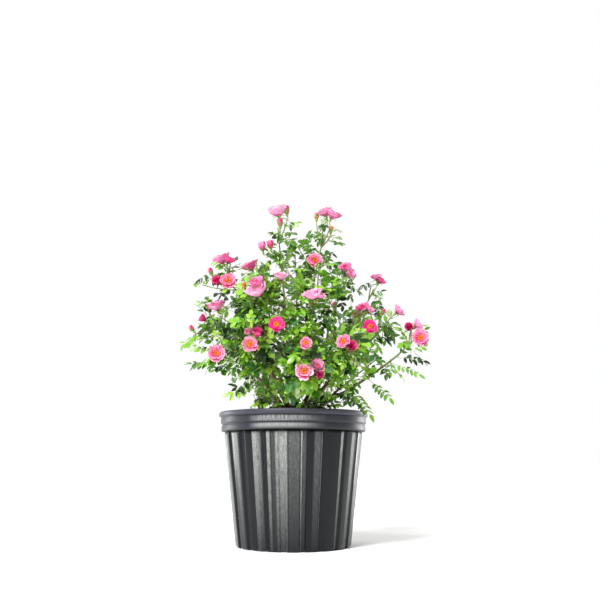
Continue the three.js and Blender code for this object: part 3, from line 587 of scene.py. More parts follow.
def stalk_to(stem, place, way):
    root = stem.place_on(clamp(nearest_share(stem, place) - 0.22, 0.06, 0.9))
    end = place - way * 5
    return Limb(root, end - way * 0.42 * np.linalg.norm(end - root), end, TWIG_RADII)


def shoot_to(lift, stem, tip):
    root = stem.place_on(max(0.06, nearest_share(stem, tip) - 0.12))
    way = tip - root
    end = tip - way * min(0.6, 0.85 * LEAF_LENGTH / np.linalg.norm(way))
    control = mix(root, end, 0.5) - UP * 0.4 * lift * np.linalg.norm(root - end)
    return Limb(root, control, end, TWIG_RADII)


def fitted_twig(number, root, way, reach, lift, kind):
    """A twig, shortened until it keeps to the spray's space, and its reach, or None and 0. kind gives its
    radii, its shortest reach, by what share it shrinks, where it is looked at, and how clear it keeps."""
    radii, shortest, shrink, place_on, shares, clearance = kind
    while reach >= shortest:
        twig = Limb(root, root + way * reach * 0.5, root + way * reach + UP * lift * reach, radii)
        if are_free(number, np.array([place_on(twig, share) for share in shares]), *clearance).all():
            return twig, reach
        reach *= shrink
    return None, 0


SIDE_TWIG = (TWIG_RADII, SHORTEST_TWIG, 0.86, Limb.place_on, taper(0.2, 1, 10), ())


def grow(number):
    """Everything in one spray that its solid has: the stem, the twigs, the leaves and the roses."""
    entry = SPRAYS[number]
    seed = SEED + 101 * number
    random = random_from(seed)
    cane = CANES[entry["name"]]
    arriving = cane.tangent(1)
    start, to = vector(entry["from"]) + arriving * GAP, vector(entry["to"])
    control = start + arriving * 0.4 * np.linalg.norm(start - to)
    stem = Limb(start, control, to, taper(CANE_TIP_RADIUS, STEM_TIP_RADIUS, STEM_STEPS))
    grown = {"cane": cane, "stem": stem, "twigs": [], "leaves": [], "blooms": []}
    habits = []

    def add_twig(twig, habit):
        grown["twigs"].append(twig)
        habits.append(habit)

    # How far the flowers of each kind turn up, their least size and by how much it varies.
    for kind, upwards, smallest, varies in (("roses", 0.15, 0.9, 0.25), ("buds", 0.9, 0.75, 0.3)):
        for flower in entry[kind]:
            size = smallest + varies * random()
            place = vector(flower["place"])
            way = unit(outwards(place) + UP * upwards)
            facing = way if flower["facing"] is None else unit(vector(flower["facing"]))
            twig = stalk_to(stem, place, way)
            add_twig(twig, STALK_HABIT)
            grown["blooms"].append(flower | {"place": place, "way": facing, "size": size, "twig": twig})
    for tip in entry["shoots"]:
        add_twig(shoot_to(entry["lift"], stem, vector(tip)), SHOOT_HABIT)
    first_face = math.floor(3 * random())
    for i in range(entry["twigs"]):
        slide, opens, stretch = random(), random(), random()
        share = 0.05 + 0.88 * (i + 0.3 + 0.4 * slide) / entry["twigs"]
        way = stem.away(share, (first_face + i) * THIRD_TURN, 0.8 + 0.45 * opens)
        reach = SIDE_TWIG_LENGTH * (0.7 + 0.5 * stretch)
        twig, _ = fitted_twig(number, stem.place_on(share), way, reach, entry["lift"], SIDE_TWIG)
        if twig is None:
            continue
        rim = [twig.sideways(1, TURN * turn) * (BLOOM_RADIUS + 1) + twig.end for turn in taper(0, 1, 6)]
        flowers = entry["nth"] and i % entry["nth"] == 0 and are_free(number, np.array(rim)).all()
        add_twig(twig, STALK_HABIT if flowers else TWIG_HABIT)
        if flowers:
            flower = rose(twig.end, NTH_LOOKS[(number + i) % len(NTH_LOOKS)])
            grown["blooms"].append(flower | {"way": twig.tangent(1), "size": 1, "twig": twig})
    for i, (twig, habit) in enumerate(zip(grown["twigs"] + [stem], habits + [STEM_HABIT])):
        plant_leaves(number, grown, twig, random_from(seed + 7 * (i + 1)), habit)
    carrying = {id(leaf.twig) for leaf in grown["leaves"]} | {id(bloom["twig"]) for bloom in grown["blooms"]}
    grown["twigs"] = [twig for twig in grown["twigs"] if id(twig) in carrying]
    return grown


# Finer growth, beyond what the solids have

# How far a finer leaf or twig keeps from the next spray, and how far it may come into a cane's margin.
FINE_CLEARANCE = (0.5, 1.2)
FINE_LENGTH = 46
FINE_RADII = (0.75, 0.6, 0.5)
FINE_TWIG = (FINE_RADII, 12, 0.8, Limb.at, (0.4, 0.7, 1), FINE_CLEARANCE)
FINE_SPACING = 12
FINE_LEAF = 44
FINE_LEAF_SPOTS = ((0.3, 0.5), (-0.3, 0.5), (0, 1), (0, 0.5))
GOLDEN_TURN = 2.39996
SPRIG_LONGEST = 88
SPRIG_SHORTEST = 34
SPRIG_FACING = (0.1, -0.7, 0.7)


def fine_leaf(number, twig, share, angle, spread, length, random):
    """A small leaf on a twig, or None where it would leave the spray's space."""
    way = twig.away(share, angle, spread)
    way[2] -= 0.35 * random()
    root = twig.at(share)
    up = vector((1.9 * (random() - 0.5), 1.9 * (random() - 0.5), 0.7)) + outwards(root) * 0.7
    for shrink in (1, 0.8, 0.62):
        leaf = Leaf(twig, root, way, up, length * shrink)
        if are_free(number, np.array([leaf.place(*spot) for spot in FINE_LEAF_SPOTS]), *FINE_CLEARANCE).all():
            return leaf
    return None


def grow_finer(number, grown):
    """Side twigs on the twigs and the stem, each with a few smaller leaves, up to the spray's fill."""
    entry = SPRAYS[number]
    random = random_from(SEED + 5003 + 211 * number)
    parents = [grown["stem"]] + grown["twigs"]
    grown |= {"fine_twigs": [], "fine_leaves": [], "sprigs": []}
    for i in range(entry["fill"]):
        parent = parents[i % len(parents)]
        share = 0.12 + 0.8 * random()
        angle = i * GOLDEN_TURN + random()
        way = parent.away(share, angle, 0.7 + 0.5 * random())
        reach = FINE_LENGTH * (0.65 + 0.55 * random())
        twig, reach = fitted_twig(number, parent.at(share), way, reach, entry["lift"] + 0.06, FINE_TWIG)
        if twig is None:
            continue
        slots = max(1, round(reach / FINE_SPACING))
        leaves = []
        for j in range(slots + 1):
            at = min(1, 0.25 + 0.75 * j / slots)
            spread = 0.2 if j == slots else 0.75 + 0.5 * random()
            length = FINE_LEAF * entry["leaf"] ** 0.25 * (0.8 + 0.35 * random())
            leaves.append(fine_leaf(number, twig, at, angle + j * GOLDEN_TURN, spread, length, random))
        leaves = [leaf for leaf in leaves if leaf is not None]
        if leaves:
            grown["fine_twigs"].append(twig)
            grown["fine_leaves"] += leaves
    for places in SPRIGS.get(entry["name"], ()):
        grow_sprig(grown, vector(places[:3]), vector(places[-3:]))
    return grown


def grow_sprig(grown, tip, near):
    """A leaf out to a tip, from the place on the spray or its cane that lies nearest to another place."""
    limbs = [grown["stem"], *grown["twigs"], *grown["fine_twigs"]]
    starts = [limb.at(share) for limb in limbs for share in taper(0.1, 1, 12)]
    starts += [grown["cane"].at(share) for share in taper(0.45, 1, 12)]
    starts = [start for start in starts if np.linalg.norm(tip - start) > SPRIG_SHORTEST]
    root = min(starts, key=lambda start: np.linalg.norm(start - near))
    far = np.linalg.norm(tip - root)
    twig = None
    if far > SPRIG_LONGEST:
        end = mix(root, tip, 1 - 0.9 * SPRIG_LONGEST / far) + UP * 0.04 * far
        twig = Limb(root, mix(root, end, 0.5) + UP * 0.06 * far, end, FINE_RADII)
        grown["fine_twigs"].append(twig)
        root = end
        far = np.linalg.norm(tip - root)
    grown["sprigs"].append(Leaf(twig, root, tip - root + UP * LEAF_DROOP * far, vector(SPRIG_FACING), far))


# Meshes

def put(name, data, place=(0, 0, 0), rotation=(0, 0, 0), **values):
    """A new object in the scene, of data that takes these values."""
    for key, value in values.items():
        setattr(data, key, value)
    thing = bpy.data.objects.new(name, data)
    thing.location, thing.rotation_euler = place, rotation
    bpy.context.scene.collection.objects.link(thing)
    return thing


class Batch:
    """Triangles gathered for one piece, in millimetres, with a material slot for each face."""

    def __init__(self):
        self.points, self.faces, self.slots, self.count = [], [], [], 0

    def add(self, points, faces, slot):
        self.points.append(np.asarray(points, float))
        self.faces.append(np.asarray(faces, int) + self.count)
        self.slots.append(np.full(len(faces), slot) if np.isscalar(slot) else slot)
        self.count += len(points)

    def make(self, name, materials, smooth_faces=True):
        points = np.concatenate(self.points) * MM
        faces = np.concatenate(self.faces)
        mesh = bpy.data.meshes.new(name)
        mesh.vertices.add(len(points))
        mesh.vertices.foreach_set("co", points.astype(np.float32).ravel())
        mesh.loops.add(faces.size)
        mesh.loops.foreach_set("vertex_index", faces.astype(np.int32).ravel())
        mesh.polygons.add(len(faces))
        mesh.polygons.foreach_set("loop_start", np.arange(0, faces.size, 3, dtype=np.int32))
        mesh.polygons.foreach_set("material_index", np.concatenate(self.slots).astype(np.int32))
        mesh.update(calc_edges=True)
        mesh.shade_smooth() if smooth_faces else mesh.shade_flat()
        for material in materials:
            mesh.materials.append(material)
        return put(name, mesh)


def grid_faces(rows, columns, closed=False):
    """The triangles of a grid of points, row by row. A closed grid joins its last column to its first."""
    spans = columns if closed else columns - 1
    i, j = np.meshgrid(np.arange(rows - 1), np.arange(spans), indexing="ij")
    a = (i * columns + j).ravel()
    b = (i * columns + (j + 1) % columns).ravel()
    c, d = a + columns, b + columns
    return np.concatenate([np.stack([a, b, d], 1), np.stack([a, d, c], 1)])


def closed_faces(rows, columns):
    """The triangles of rings joined row by row, and of fans that close them from two points after them."""
    j = np.arange(columns)
    k, top = (j + 1) % columns, (rows - 1) * columns
    first = np.full(columns, rows * columns)
    fans = [np.stack([first, k, j], 1), np.stack([first + 1, top + j, top + k], 1)]
    return np.concatenate([grid_faces(rows, columns, True), *fans])


def add_tube(batch, centres, radii, sides, slot, relief=0):
    """A closed tube along a line of points. relief is how much its radius grows, as a share of the radius."""
    centres = np.asarray(centres, float)
    ways = np.gradient(centres, axis=0)
    ways /= np.linalg.norm(ways, axis=1)[:, None]
    across = np.cross(ways, least_axis(centres[-1] - centres[0]))
    across /= np.linalg.norm(across, axis=1)[:, None]
    upright = np.cross(ways, across)
    angles = angles_round(sides)
    radii = np.asarray(radii, float)[:, None] * np.ones(sides) * (1 + relief)
    ring = across[:, None] * np.cos(angles)[:, None] + upright[:, None] * np.sin(angles)[:, None]
    points = (centres[:, None] + ring * radii[..., None]).reshape(-1, 3)
    batch.add(np.concatenate([points, centres[:1], centres[-1:]]), closed_faces(len(centres), sides), slot)


def add_limb(batch, limb, radii, sides, rings, slot, end=None):
    """A limb as a tube. Its last part bends over to an end, the foot of the flower there, if one is given."""
    shares = np.linspace(0, 1, rings)
    bend = 0 if end is None else smooth((shares - 0.55) / 0.45)[:, None] * (end - limb.end)
    radii = np.interp(shares, np.linspace(0, 1, len(radii)), radii)
    add_tube(batch, limb.run(shares) + bend, radii, sides, slot)


def cut_back(limb):
    """The limb, cut back to where its end no longer stands in an opening."""
    for share in np.linspace(1, 0.3, 15):
        if not in_an_opening(limb.at(share)).any():
            break
    return Limb(limb.root, mix(limb.root, limb.control, share), limb.at(share), limb.radii)


# Leaflets and compound leaves

LEAFLET_STATIONS = 7
LEAFLET_WIDTH = 0.31
TOOTH = 0.022
# How long the leaflets are in a leaf one unit long, by their number of pairs.
LEAFLET_SIZES = {2: 0.36, 3: 0.3, 4: 0.22, 5: 0.19}


def leaflet_shape(fold, droop, curl):
    """A toothed leaflet one unit long, folded along its midrib: its points and triangles."""
    n = LEAFLET_STATIONS
    along = np.linspace(0, 1, n + 1)
    half = LEAFLET_WIDTH * np.sin(math.pi * along ** 0.88) ** 0.72
    points = []
    faces = []

    def bend(x, y):
        points.append((x, y, fold * abs(x) - droop * y * y - curl * x * x))
        return len(points) - 1

    for y in along:
        bend(0, y)
    for side in (1, -1):
        rim = [0, *[bend(side * half[i], along[i]) for i in range(1, n)], n]
        for i in range(n):
            found = [(i, rim[i + 1], i + 1)] if i < n - 1 else []
            if i > 0:
                x, y = mix(vector(points[rim[i]]), vector(points[rim[i + 1]]), 0.75)[:2]
                tooth = bend(x + side * TOOTH, y + TOOTH * 0.6)
                found = [(i, rim[i], rim[i + 1]), *found, (rim[i], tooth, rim[i + 1])]
            faces += [(a, b, c) if side > 0 else (a, c, b) for a, b, c in found]
    return np.array(points), np.array(faces)


LEAFLETS = [leaflet_shape(0.28, 0.16, 0.3), leaflet_shape(0.12, 0.3, 0.8), leaflet_shape(0.45, 0.08, -0.2)]


def add_leaflet(batch, root, way, normal, length, slot, keeps, random):
    """One leaflet, left out where it would hide a rose from the front or, unless it keeps, fill an opening.
    Returns whether it was drawn."""
    points, faces = LEAFLETS[int(random() * len(LEAFLETS))]
    width = (0.9 + 0.25 * random()) * (0.8 if keeps and length < 17 else 1)
    middle = root + way * length * 0.5
    apart = np.linalg.norm(seen_from_the_front(middle) - BLOOMS_SEEN[:, :2], axis=1)
    hides = (apart < BLOOMS_SEEN[:, 2]) & (middle[1] < BLOOMS_SEEN[:, 3])
    if hides.any() or not keeps and in_an_opening(middle).any():
        return False
    normal = unit(normal - way * (normal @ way))
    batch.add(root + points @ (np.array([np.cross(way, normal) * width, way, normal]) * length), faces, slot)
    return True


def add_leaf(batch, stalks, leaf, slot, stalk_slot, pairs, keeps, random):
    """A compound leaf in the place of a plain blade: a thin stalk with pairs of leaflets and one at its tip.
    Returns whether any leaflet was drawn."""
    last = 0.68 if pairs < 4 else 0.84
    drawn = []
    size = leaf.length * LEAFLET_SIZES[pairs]
    for pair in range(pairs):
        along = mix(0.28, last - 0.12, pair / (pairs - 1))
        for side in (1, -1):
            angle = 0.95 + 0.25 * random()
            way = leaf.way * math.cos(angle) + leaf.wide * side * math.sin(angle)
            way = unit(way - leaf.normal * (0.05 + 0.3 * random()))
            up = leaf.normal + leaf.wide * side * 0.5 * (random() - 0.3) + leaf.way * 0.5 * (random() - 0.5)
            length = size * (0.84 + 0.16 * pair / (pairs - 1)) * (0.92 + 0.16 * random())
            if add_leaflet(batch, leaf.place(0, along), way, up, length, slot, keeps, random):
                drawn.append(along)
    way = unit(leaf.way - leaf.normal * (0.1 + 0.25 * random()))
    if add_leaflet(batch, leaf.place(0, last), way, leaf.normal, size * 1.08, slot, keeps, random):
        drawn.append(last)
    if drawn:
        centres = [leaf.place(0, along) for along in np.linspace(0, max(drawn), 5)]
        add_tube(stalks, centres, np.linspace(0.5, 0.28, 5), 3, stalk_slot)
    return bool(drawn)


# Roses, buds and thorns

HIP, SEPAL = range(2)
ANTHER, FILAMENT, HEART = range(3)
PETAL_ROWS = 8
PETAL_COLUMNS = 9
PETAL_CODES = {
    "gold": "f6a83a", "coral": "ef6a4a", "deep": "c20a60", "hot": "df2a80", "rose": "ec559c",
    "pink": "ea769f", "light": "ee98b3", "pale": "f3b6c8", "blush": "f8d2dc", "orchid": "ea74b2",
    "lilac": "f5a4cf", "mist": "f9c2de",
}
PETAL_COLOURS = list(PETAL_CODES)
# A petal's colours inside and outside, from its foot to its edge. The last one is for its sides.
INSIDES = {
    "coral": "gold coral coral coral hot rose rose pink",
    "pale": "gold gold coral hot pink light pale blush",
    "pink": "gold gold coral hot rose pink light pale",
    "rose": "gold coral hot rose rose pink light light",
    "hot": "gold gold coral hot hot hot hot rose",
}
OUTSIDES = {
    "coral": "coral coral hot rose rose pink pink light",
    "pale": "orchid orchid lilac lilac lilac mist mist mist",
    "pink": "rose orchid orchid lilac lilac lilac lilac mist",
    "rose": "rose rose orchid orchid lilac orchid lilac mist",
    "hot": "deep hot hot hot rose rose rose pink",
}
# The deeper palette that some of a rose's petals take.
BLUSHES = {"coral": "hot", "pale": "pink", "pink": "rose", "rose": "hot", "hot": "hot"}
# The forms of rose: how far a rose's foot lies behind its place, how loose and how ruffled it is, its whorls
# of petals as (how many, start radius, start height, length, width, first rise, last rise, cup) from the
# outermost, how its sepals bend from the first angle to the last, and how many stamens it has.
FORMS = {
    "open": (3, 1, 0.07, (
        (5, 1.6, -2, 16.5, 9, 0.5, 0.05, 0.18), (5, 1.6, -1.2, 13.2, 6.8, 0.72, 0.3, 0.26),
        (3, 2.2, -0.6, 8, 4, 0.8, 0.7, 0.3),
    ), (-0.2, -1.1), 40),
    "cup": (7, 0.5, 0.032, (
        (5, 1.4, -2, 21, 11.5, 0.45, 1.15, 0.36), (5, 1.2, -1.5, 18, 9.5, 0.75, 1.3, 0.4),
        (4, 1, -1, 13, 6, 1.1, 1.45, 0.4),
    ), (0.4, -0.4), 20),
    "half": (8, 0.35, 0.03, (
        (5, 1.2, -2, 16, 8.2, 1.05, 1.15, 0.45), (4, 1, -2, 15, 6.8, 1.2, 1.4, 0.5),
        (3, 0.7, -1, 12.5, 4.8, 1.4, 1.55, 0.5),
    ), (0.4, -0.4), 0),
    "opening": (8, 0.3, 0.02, (
        (5, 1.2, -2, 17.5, 7.2, 1.15, 1.3, 0.5), (3, 0.9, -1.5, 16, 5.6, 1.35, 1.5, 0.5),
    ), (0.9, 0.5), 0),
}


class Stand:
    """Where a flower stands and its way, with directions square to that way."""

    def __init__(self, place, way):
        self.place, self.way = place, way
        self.side_x = unit(np.cross(way, least_axis(way)))
        self.side_y = np.cross(way, self.side_x)

    def out(self, turn):
        return self.side_x * math.cos(turn) + self.side_y * math.sin(turn)

    def aside(self, turn):
        return self.side_y * math.cos(turn) - self.side_x * math.sin(turn)

    def add_turned(self, batch, profile, sides, slot):
        """A small turned form, such as a hip or a bud's heart, from radius and height pairs."""
        add_tube(batch, [self.place + self.way * z for _, z in profile], [r for r, _ in profile], sides, slot)


def climb(start, angles, step):
    """The radius and height of a line that starts at the first ones and goes on by a step at each angle."""
    steps = np.cumsum([np.cos(angles[:-1]) * step, np.sin(angles[:-1]) * step], axis=1)
    return np.array(start)[:, None] + np.concatenate([np.zeros((2, 1)), steps], axis=1)


def add_petal(batch, stand, turn, start, length, width, rise, cup, ruffle, colours, phase):
    """One petal. It starts at a radius and height from the rose's heart, and climbs from the first angle of
    rise to the last."""
    shares = np.linspace(0, 1, PETAL_ROWS)[:, None]
    tilt = rise[0] + (rise[1] - rise[0]) * shares ** 1.1
    radial, height = climb(start, tilt[:, 0], length / (PETAL_ROWS - 1))
    broad = 0.3 + 0.7 * np.sin(math.pi / 2 * np.minimum(shares / 0.68, 1))
    broad *= np.sqrt(1 - 0.5 * (np.maximum(shares - 0.68, 0) / 0.32) ** 2)
    s = np.linspace(-1, 1, PETAL_COLUMNS)
    sunk = -length * shares * (0.1 * s ** 4 + 0.09 * np.exp(-(s / 0.28) ** 2) * shares)
    waves = np.sin(2.6 * s + phase) + 0.5 * np.sin(6.1 * s + 2 * phase)
    lift = cup * width * broad * s * s + ruffle * length * shares * shares * waves
    r = radial[:, None] + sunk * np.cos(tilt) - lift * np.sin(tilt)
    z = height[:, None] + sunk * np.sin(tilt) + lift * np.cos(tilt)
    q = s * width * broad
    points = stand.place + r[..., None] * stand.out(turn) + q[..., None] * stand.aside(turn)
    points += z[..., None] * stand.way
    row, column = np.indices((PETAL_ROWS - 1, PETAL_COLUMNS - 1))
    at_side = (column == 0) | (column == PETAL_COLUMNS - 2)
    shade = np.asarray(colours)[row + (at_side & (row > 2))].ravel()
    batch.add(points.reshape(-1, 3), grid_faces(PETAL_ROWS, PETAL_COLUMNS), np.tile(shade, 2))


def add_sepal(batch, stand, turn, root, length, width, bend):
    """A narrow pointed sepal that starts at a radius and height and bends from one angle to another."""
    angles = mix(bend[0], bend[1], np.linspace(0, 1, 5))
    out, way = stand.out(turn), stand.way
    r, z = climb(root, angles, length / 4)
    half = width * np.array([0.7, 1, 0.75, 0.4, 0.03])[:, None] * stand.aside(turn)
    centre = stand.place + r[:, None] * out + z[:, None] * way
    raised = 0.25 * width * (np.cos(angles)[:, None] * way - np.sin(angles)[:, None] * out)
    points = np.stack([centre + half + raised, centre, centre - half + raised], 1)
    batch.add(points.reshape(-1, 3), grid_faces(5, 3), SEPAL)


def add_rose(petals, greens, stamens, bloom, random):
    """An open or opening rose, with its hip, sepals and stamens. Returns where its stalk ends."""
    palette, form = bloom["look"].split()
    sink, loose, ruffled, whorls, bend, stamen_count = FORMS[form]
    size = bloom["size"] * bloom["scale"] * 0.95
    stand = Stand(bloom["place"] - bloom["way"] * sink * size, bloom["way"])
    spin = TURN * random()
    for whorl, (count, radius, height, length, width, first, last, cup) in enumerate(whorls):
        sides = INSIDES if form == "open" or whorl > 1 else OUTSIDES
        for i in range(count):
            names = sides[BLUSHES[palette] if random() < 0.3 else palette].split()
            turn = spin + whorl * 0.55 + (i + 0.4 * loose * (random() - 0.5)) * TURN / count
            grown = size * (1 + 0.24 * loose * (random() - 0.5))
            rise = (first + 0.35 * loose * (random() - 0.5), last + 0.6 * loose * (random() - 0.5))
            ruffle = ruffled * (0.6 + 0.8 * random())
            add_petal(
                petals, stand, turn, (radius, height + 0.3 * whorl), length * grown, width * grown, rise, cup,
                ruffle, [PETAL_COLOURS.index(name) for name in names], TURN * random(),
            )
    stand.add_turned(greens, [(0.9, -8.5), (2.1, -7.2), (2.5, -5.2), (1.9, -3.4), (1.6, -2.4)], 7, HIP)
    for i in range(5):
        add_sepal(greens, stand, spin + i * TURN / 5, (1.6, -3.2), 11 * size, 1.9, bend)
    if stamen_count:
        add_stamens(stamens, stand, size, stamen_count, random)
    return stand.place - stand.way * 8


def add_stamens(batch, stand, size, count, random):
    """A burst of stamens round an orange heart."""
    stand.add_turned(batch, [(2.8, -1.5), (4.0, 0.2), (3.0, 1.2), (1.2, 1.8)], 9, HEART)
    for i in range(count):
        lean = 0.2 + 0.95 * ((i + random()) / count)
        out = stand.out(i * GOLDEN_TURN)
        reach = unit(stand.way * math.cos(lean) + out * math.sin(lean))
        foot = stand.place + out * 1.4
        tip = foot + reach * (4.6 + 2.2 * random()) * size
        add_tube(batch, [foot, tip], [0.2, 0.16], 3, FILAMENT)
        anther = [tip - reach * 0.6, tip, tip + reach * 0.6]
        add_tube(batch, anther, [0.3, 0.95, 0.3], 4, ANTHER if random() < 0.6 else HEART)


def add_bud(petals, greens, bloom, random):
    """A closed bud: a pointed heart of rolled petals, held by its sepals. Returns where its stalk ends."""
    stand = Stand(bloom["place"] - bloom["way"] * 6, bloom["way"])
    size = bloom["size"] * bloom["scale"]
    tint = PETAL_COLOURS.index(bloom["look"].split()[1])
    heart = [(2.2, 1), (4.2, 4), (4.7, 7), (3.8, 11), (1.9, 14.5), (0.3, 16.5)]
    stand.add_turned(petals, [(r * size, z * size) for r, z in heart], 9, tint)
    form = ((3.4 * size, 2 * size), 14 * size, 4 * size, (1.35, 1.75), 0.45, 0.02)
    for i in range(3):
        add_petal(petals, stand, i * THIRD_TURN, *form, [tint] * PETAL_ROWS, 0)
    stand.add_turned(greens, [(0.9, -4), (2.3, -2.6), (3.0, -0.6), (2.5, 1.4)], 7, HIP)
    for i in range(5):
        lean = 1.25 - 0.35 * random()
        add_sepal(greens, stand, i * TURN / 5, (2.6 * size, 0.8), 14 * size, 2.3 * size, (lean, 1.6))
    return bloom["place"] - bloom["way"] * 9.5


def add_thorns(batch, limb, spacing, length, slot, random):
    """Hooked thorns along a limb."""
    count = int(limb.length() / spacing)
    for i in range(count):
        share = 0.04 + 0.92 * (i + 0.6 * random()) / count
        out = limb.sideways(share, i * GOLDEN_TURN + random())
        along = limb.tangent(share)
        foot = limb.at(share) + out * limb.radius_at(share) * 0.6
        grown = length * (0.7 + 0.6 * random())
        middle = foot + out * grown * 0.6 - along * grown * 0.08
        tip = foot + out * grown - along * grown * 0.4
        add_tube(batch, [foot, middle, tip], [0.28 * grown, 0.15 * grown, 0.02], 4, slot)


# Materials

def linear(code):
    """A colour written as an sRGB hex code, as linear numbers with full cover."""
    parts = [int(code[i:i + 2], 16) / 255 for i in (0, 2, 4)]
    return (*[((c + 0.055) / 1.055) ** 2.4 if c > 0.04045 else c / 12.92 for c in parts], 1)


def shader(name, colour, roughness, specular):
    """A new material and its shader, in one plain colour."""
    material = bpy.data.materials.new(name)
    material.use_nodes = True
    bsdf = material.node_tree.nodes["Principled BSDF"]
    values = {"Base Color": linear(colour), "Roughness": roughness, "Specular IOR Level": specular}
    for key, value in values.items():
        bsdf.inputs[key].default_value = value
    return material, bsdf


def plain(*rows):
    """Plain materials, each from a name, a colour, a roughness and a specular level."""
    return [shader(*row)[0] for row in rows]


class Nodes:
    """Adds linked nodes to a tree, and reads its places in one kind of coordinates."""

    def __init__(self, tree, coordinates="Object"):
        self.tree = tree
        self.place = self.add("ShaderNodeTexCoord").outputs[coordinates]

    def add(self, kind, inputs=None, **values):
        """A new node with these values. Its inputs are numbers, colours or the outputs of other nodes."""
        node = self.tree.nodes.new(kind)
        for key, value in values.items():
            setattr(node, key, value)
        for key, value in (inputs or {}).items():
            self.set(node, key, value)
        return node

    def set(self, node, key, value):
        if isinstance(value, bpy.types.NodeSocket):
            self.tree.links.new(value, node.inputs[key])
        else:
            node.inputs[key].default_value = value

    def split(self):
        """The place's parts along X, Y and Z."""
        return self.add("ShaderNodeSeparateXYZ", {0: self.place}).outputs

    def noise(self, scale, detail=4, roughness=0.55, place=None):
        inputs = {"Vector": place or self.place, "Scale": scale, "Detail": detail, "Roughness": roughness}
        return self.add("ShaderNodeTexNoise", inputs).outputs["Fac"]

    def range(self, value, low, high, to_low=0.0, to_high=1.0):
        inputs = {"Value": value, "From Min": low, "From Max": high, "To Min": to_low, "To Max": to_high}
        return self.add("ShaderNodeMapRange", inputs).outputs["Result"]

    def math(self, operation, a, b):
        return self.add("ShaderNodeMath", {0: a, 1: b}, operation=operation).outputs[0]

    def times(self, a, b):
        return self.math("MULTIPLY", a, b)

    def plus(self, a, b):
        return self.math("ADD", a, b)

    def between(self, value, start, full, thin, end):
        """It rises from 0 at the start to 1, and falls from 1 to 0 at the end."""
        return self.times(self.range(value, start, full), self.range(value, end, thin))

    def blend(self, share, first, second):
        first, second = (linear(side) if isinstance(side, str) else side for side in (first, second))
        return self.add("ShaderNodeMix", {0: share, 6: first, 7: second}, data_type="RGBA").outputs[2]

    def finish(self, bsdf, colour, roughness, height, distance, strength):
        """Gives the shader its colour and roughness, and a bump from a height."""
        inputs = {"Strength": strength, "Distance": distance, "Height": height}
        normal = self.add("ShaderNodeBump", inputs).outputs[0]
        for key, value in (("Base Color", colour), ("Roughness", roughness), ("Normal", normal)):
            self.set(bsdf, key, value)


# Where dust, scuffs and painted sheen lie on the pot's body, as angles in degrees from its front, to the
# right: where each patch starts, is full, thins out and ends, and how thick it is. The patches towards both
# sides are painted reflections of the side lights on the flutes; those towards the front are dust with a
# painted highlight in it.
DUST_AND_PAINTED_SHEEN = (
    (-90, -86, -74, -69, 1.1), (-57, -54.5, -51.5, -50.2, 0.4), (-34.4, -33.8, -29.6, -26.4, 0.8),
    (-21.4, -20.8, -19, -17.8, 0.8), (-17.8, -17, -14, -13, 0.15), (-14.6, -13, -4.9, -4, 0.85),
    (-4, -3, 5, 6.4, 0.26), (6.2, 6.6, 7.4, 7.9, 1.5), (8, 8.4, 10, 11.5, 0.22), (16.5, 18, 22, 23, 0.25),
    (22.9, 23.3, 23.9, 24.4, 0.5), (42, 42.6, 45.4, 46.4, 1.2), (55, 56, 64.2, 66, 0.9),
    (70, 72, 88, 90, 0.9),
)


def pot_material():
    """Near-black moulded plastic, semi-gloss, with dust streaks and painted reflections on some flutes,
    scuffs with a painted highlight on the band, and a painted shadow under the band.
    """
    material, bsdf = shader("pot_plastic", "12161b", 0.3, 0.22)
    nodes = Nodes(material.node_tree)
    times, plus, between, ramp = nodes.times, nodes.plus, nodes.between, nodes.range
    body_top = BAND_BOTTOM * MM
    axes = nodes.split()
    height = axes["Z"]
    turn = nodes.math("ARCTAN2", axes["X"], times(axes["Y"], -1.0))
    degrees = times(turn, 360 / TURN)
    unrolled = nodes.add("ShaderNodeCombineXYZ", {"X": times(turn, 0.12), "Y": times(height, 0.09)})
    streaks = nodes.noise(800, 4, 0.6, unrolled.outputs[0])
    speckles = nodes.noise(430, 5, 0.7)
    patches = 0.0
    for *edges, thickness in DUST_AND_PAINTED_SHEEN:
        patches = plus(times(between(degrees, *edges), thickness), patches)
    rubbed = times(ramp(streaks, 0.3, 0.65, 0.35, 1), ramp(speckles, 0.3, 0.6, 0.45, 1))
    # The dust and painted reflections fade towards the bottom of the body.
    flute_dust_and_sheen = times(times(patches, ramp(height, 0.01, body_top, 0.12, 1)), rubbed)
    # Scuffs on the band and on the roll under it, lightened at the front left as a painted highlight of the
    # key light.
    on_band = times(between(height, 0.2185, 0.2215, 0.2275, 0.2305), ramp(streaks, 0.4, 0.62, 0.1, 0.5))
    on_roll = times(between(height, 0.2065, 0.2115, 0.2145, 0.2175), ramp(streaks, 0.3, 0.7, 0.22, 0.5))
    scuffs_and_highlight = times(plus(on_band, on_roll), between(degrees, -35, -25, 0, 26))
    above_body = ramp(height, body_top, (BAND_BOTTOM + 1) * MM)
    on_lip = ramp(height, (LIP_BOTTOM - 0.2) * MM, (LIP_BOTTOM + 0.8) * MM)
    haze = plus(times(above_body, 0.07), times(on_lip, 0.055))
    dust_and_sheen = plus(times(flute_dust_and_sheen, ramp(height, body_top - 0.001, body_top - 0.004)), scuffs_and_highlight)
    # The plastic, a lighter grey on the band and lip, under the dust, scuffs and painted sheen.
    worn_with_sheen = nodes.blend(dust_and_sheen, nodes.blend(haze, "0d1116", "a8a8b8"), "c3c7c3")
    # A painted shadow, near black, in the gap just under the band, where the roughness is raised too.
    shade_under_band = between(height, 0.2, 0.2035, 0.2052, 0.2065)
    rough = plus(plus(ramp(dust_and_sheen, 0, 0.5, 0.2, 0.6), times(shade_under_band, 0.4)), times(above_body, 0.18))
    nodes.finish(bsdf, nodes.blend(shade_under_band, worn_with_sheen, "020202"), rough, plus(streaks, speckles), 0.0002, 0.25)
    return material


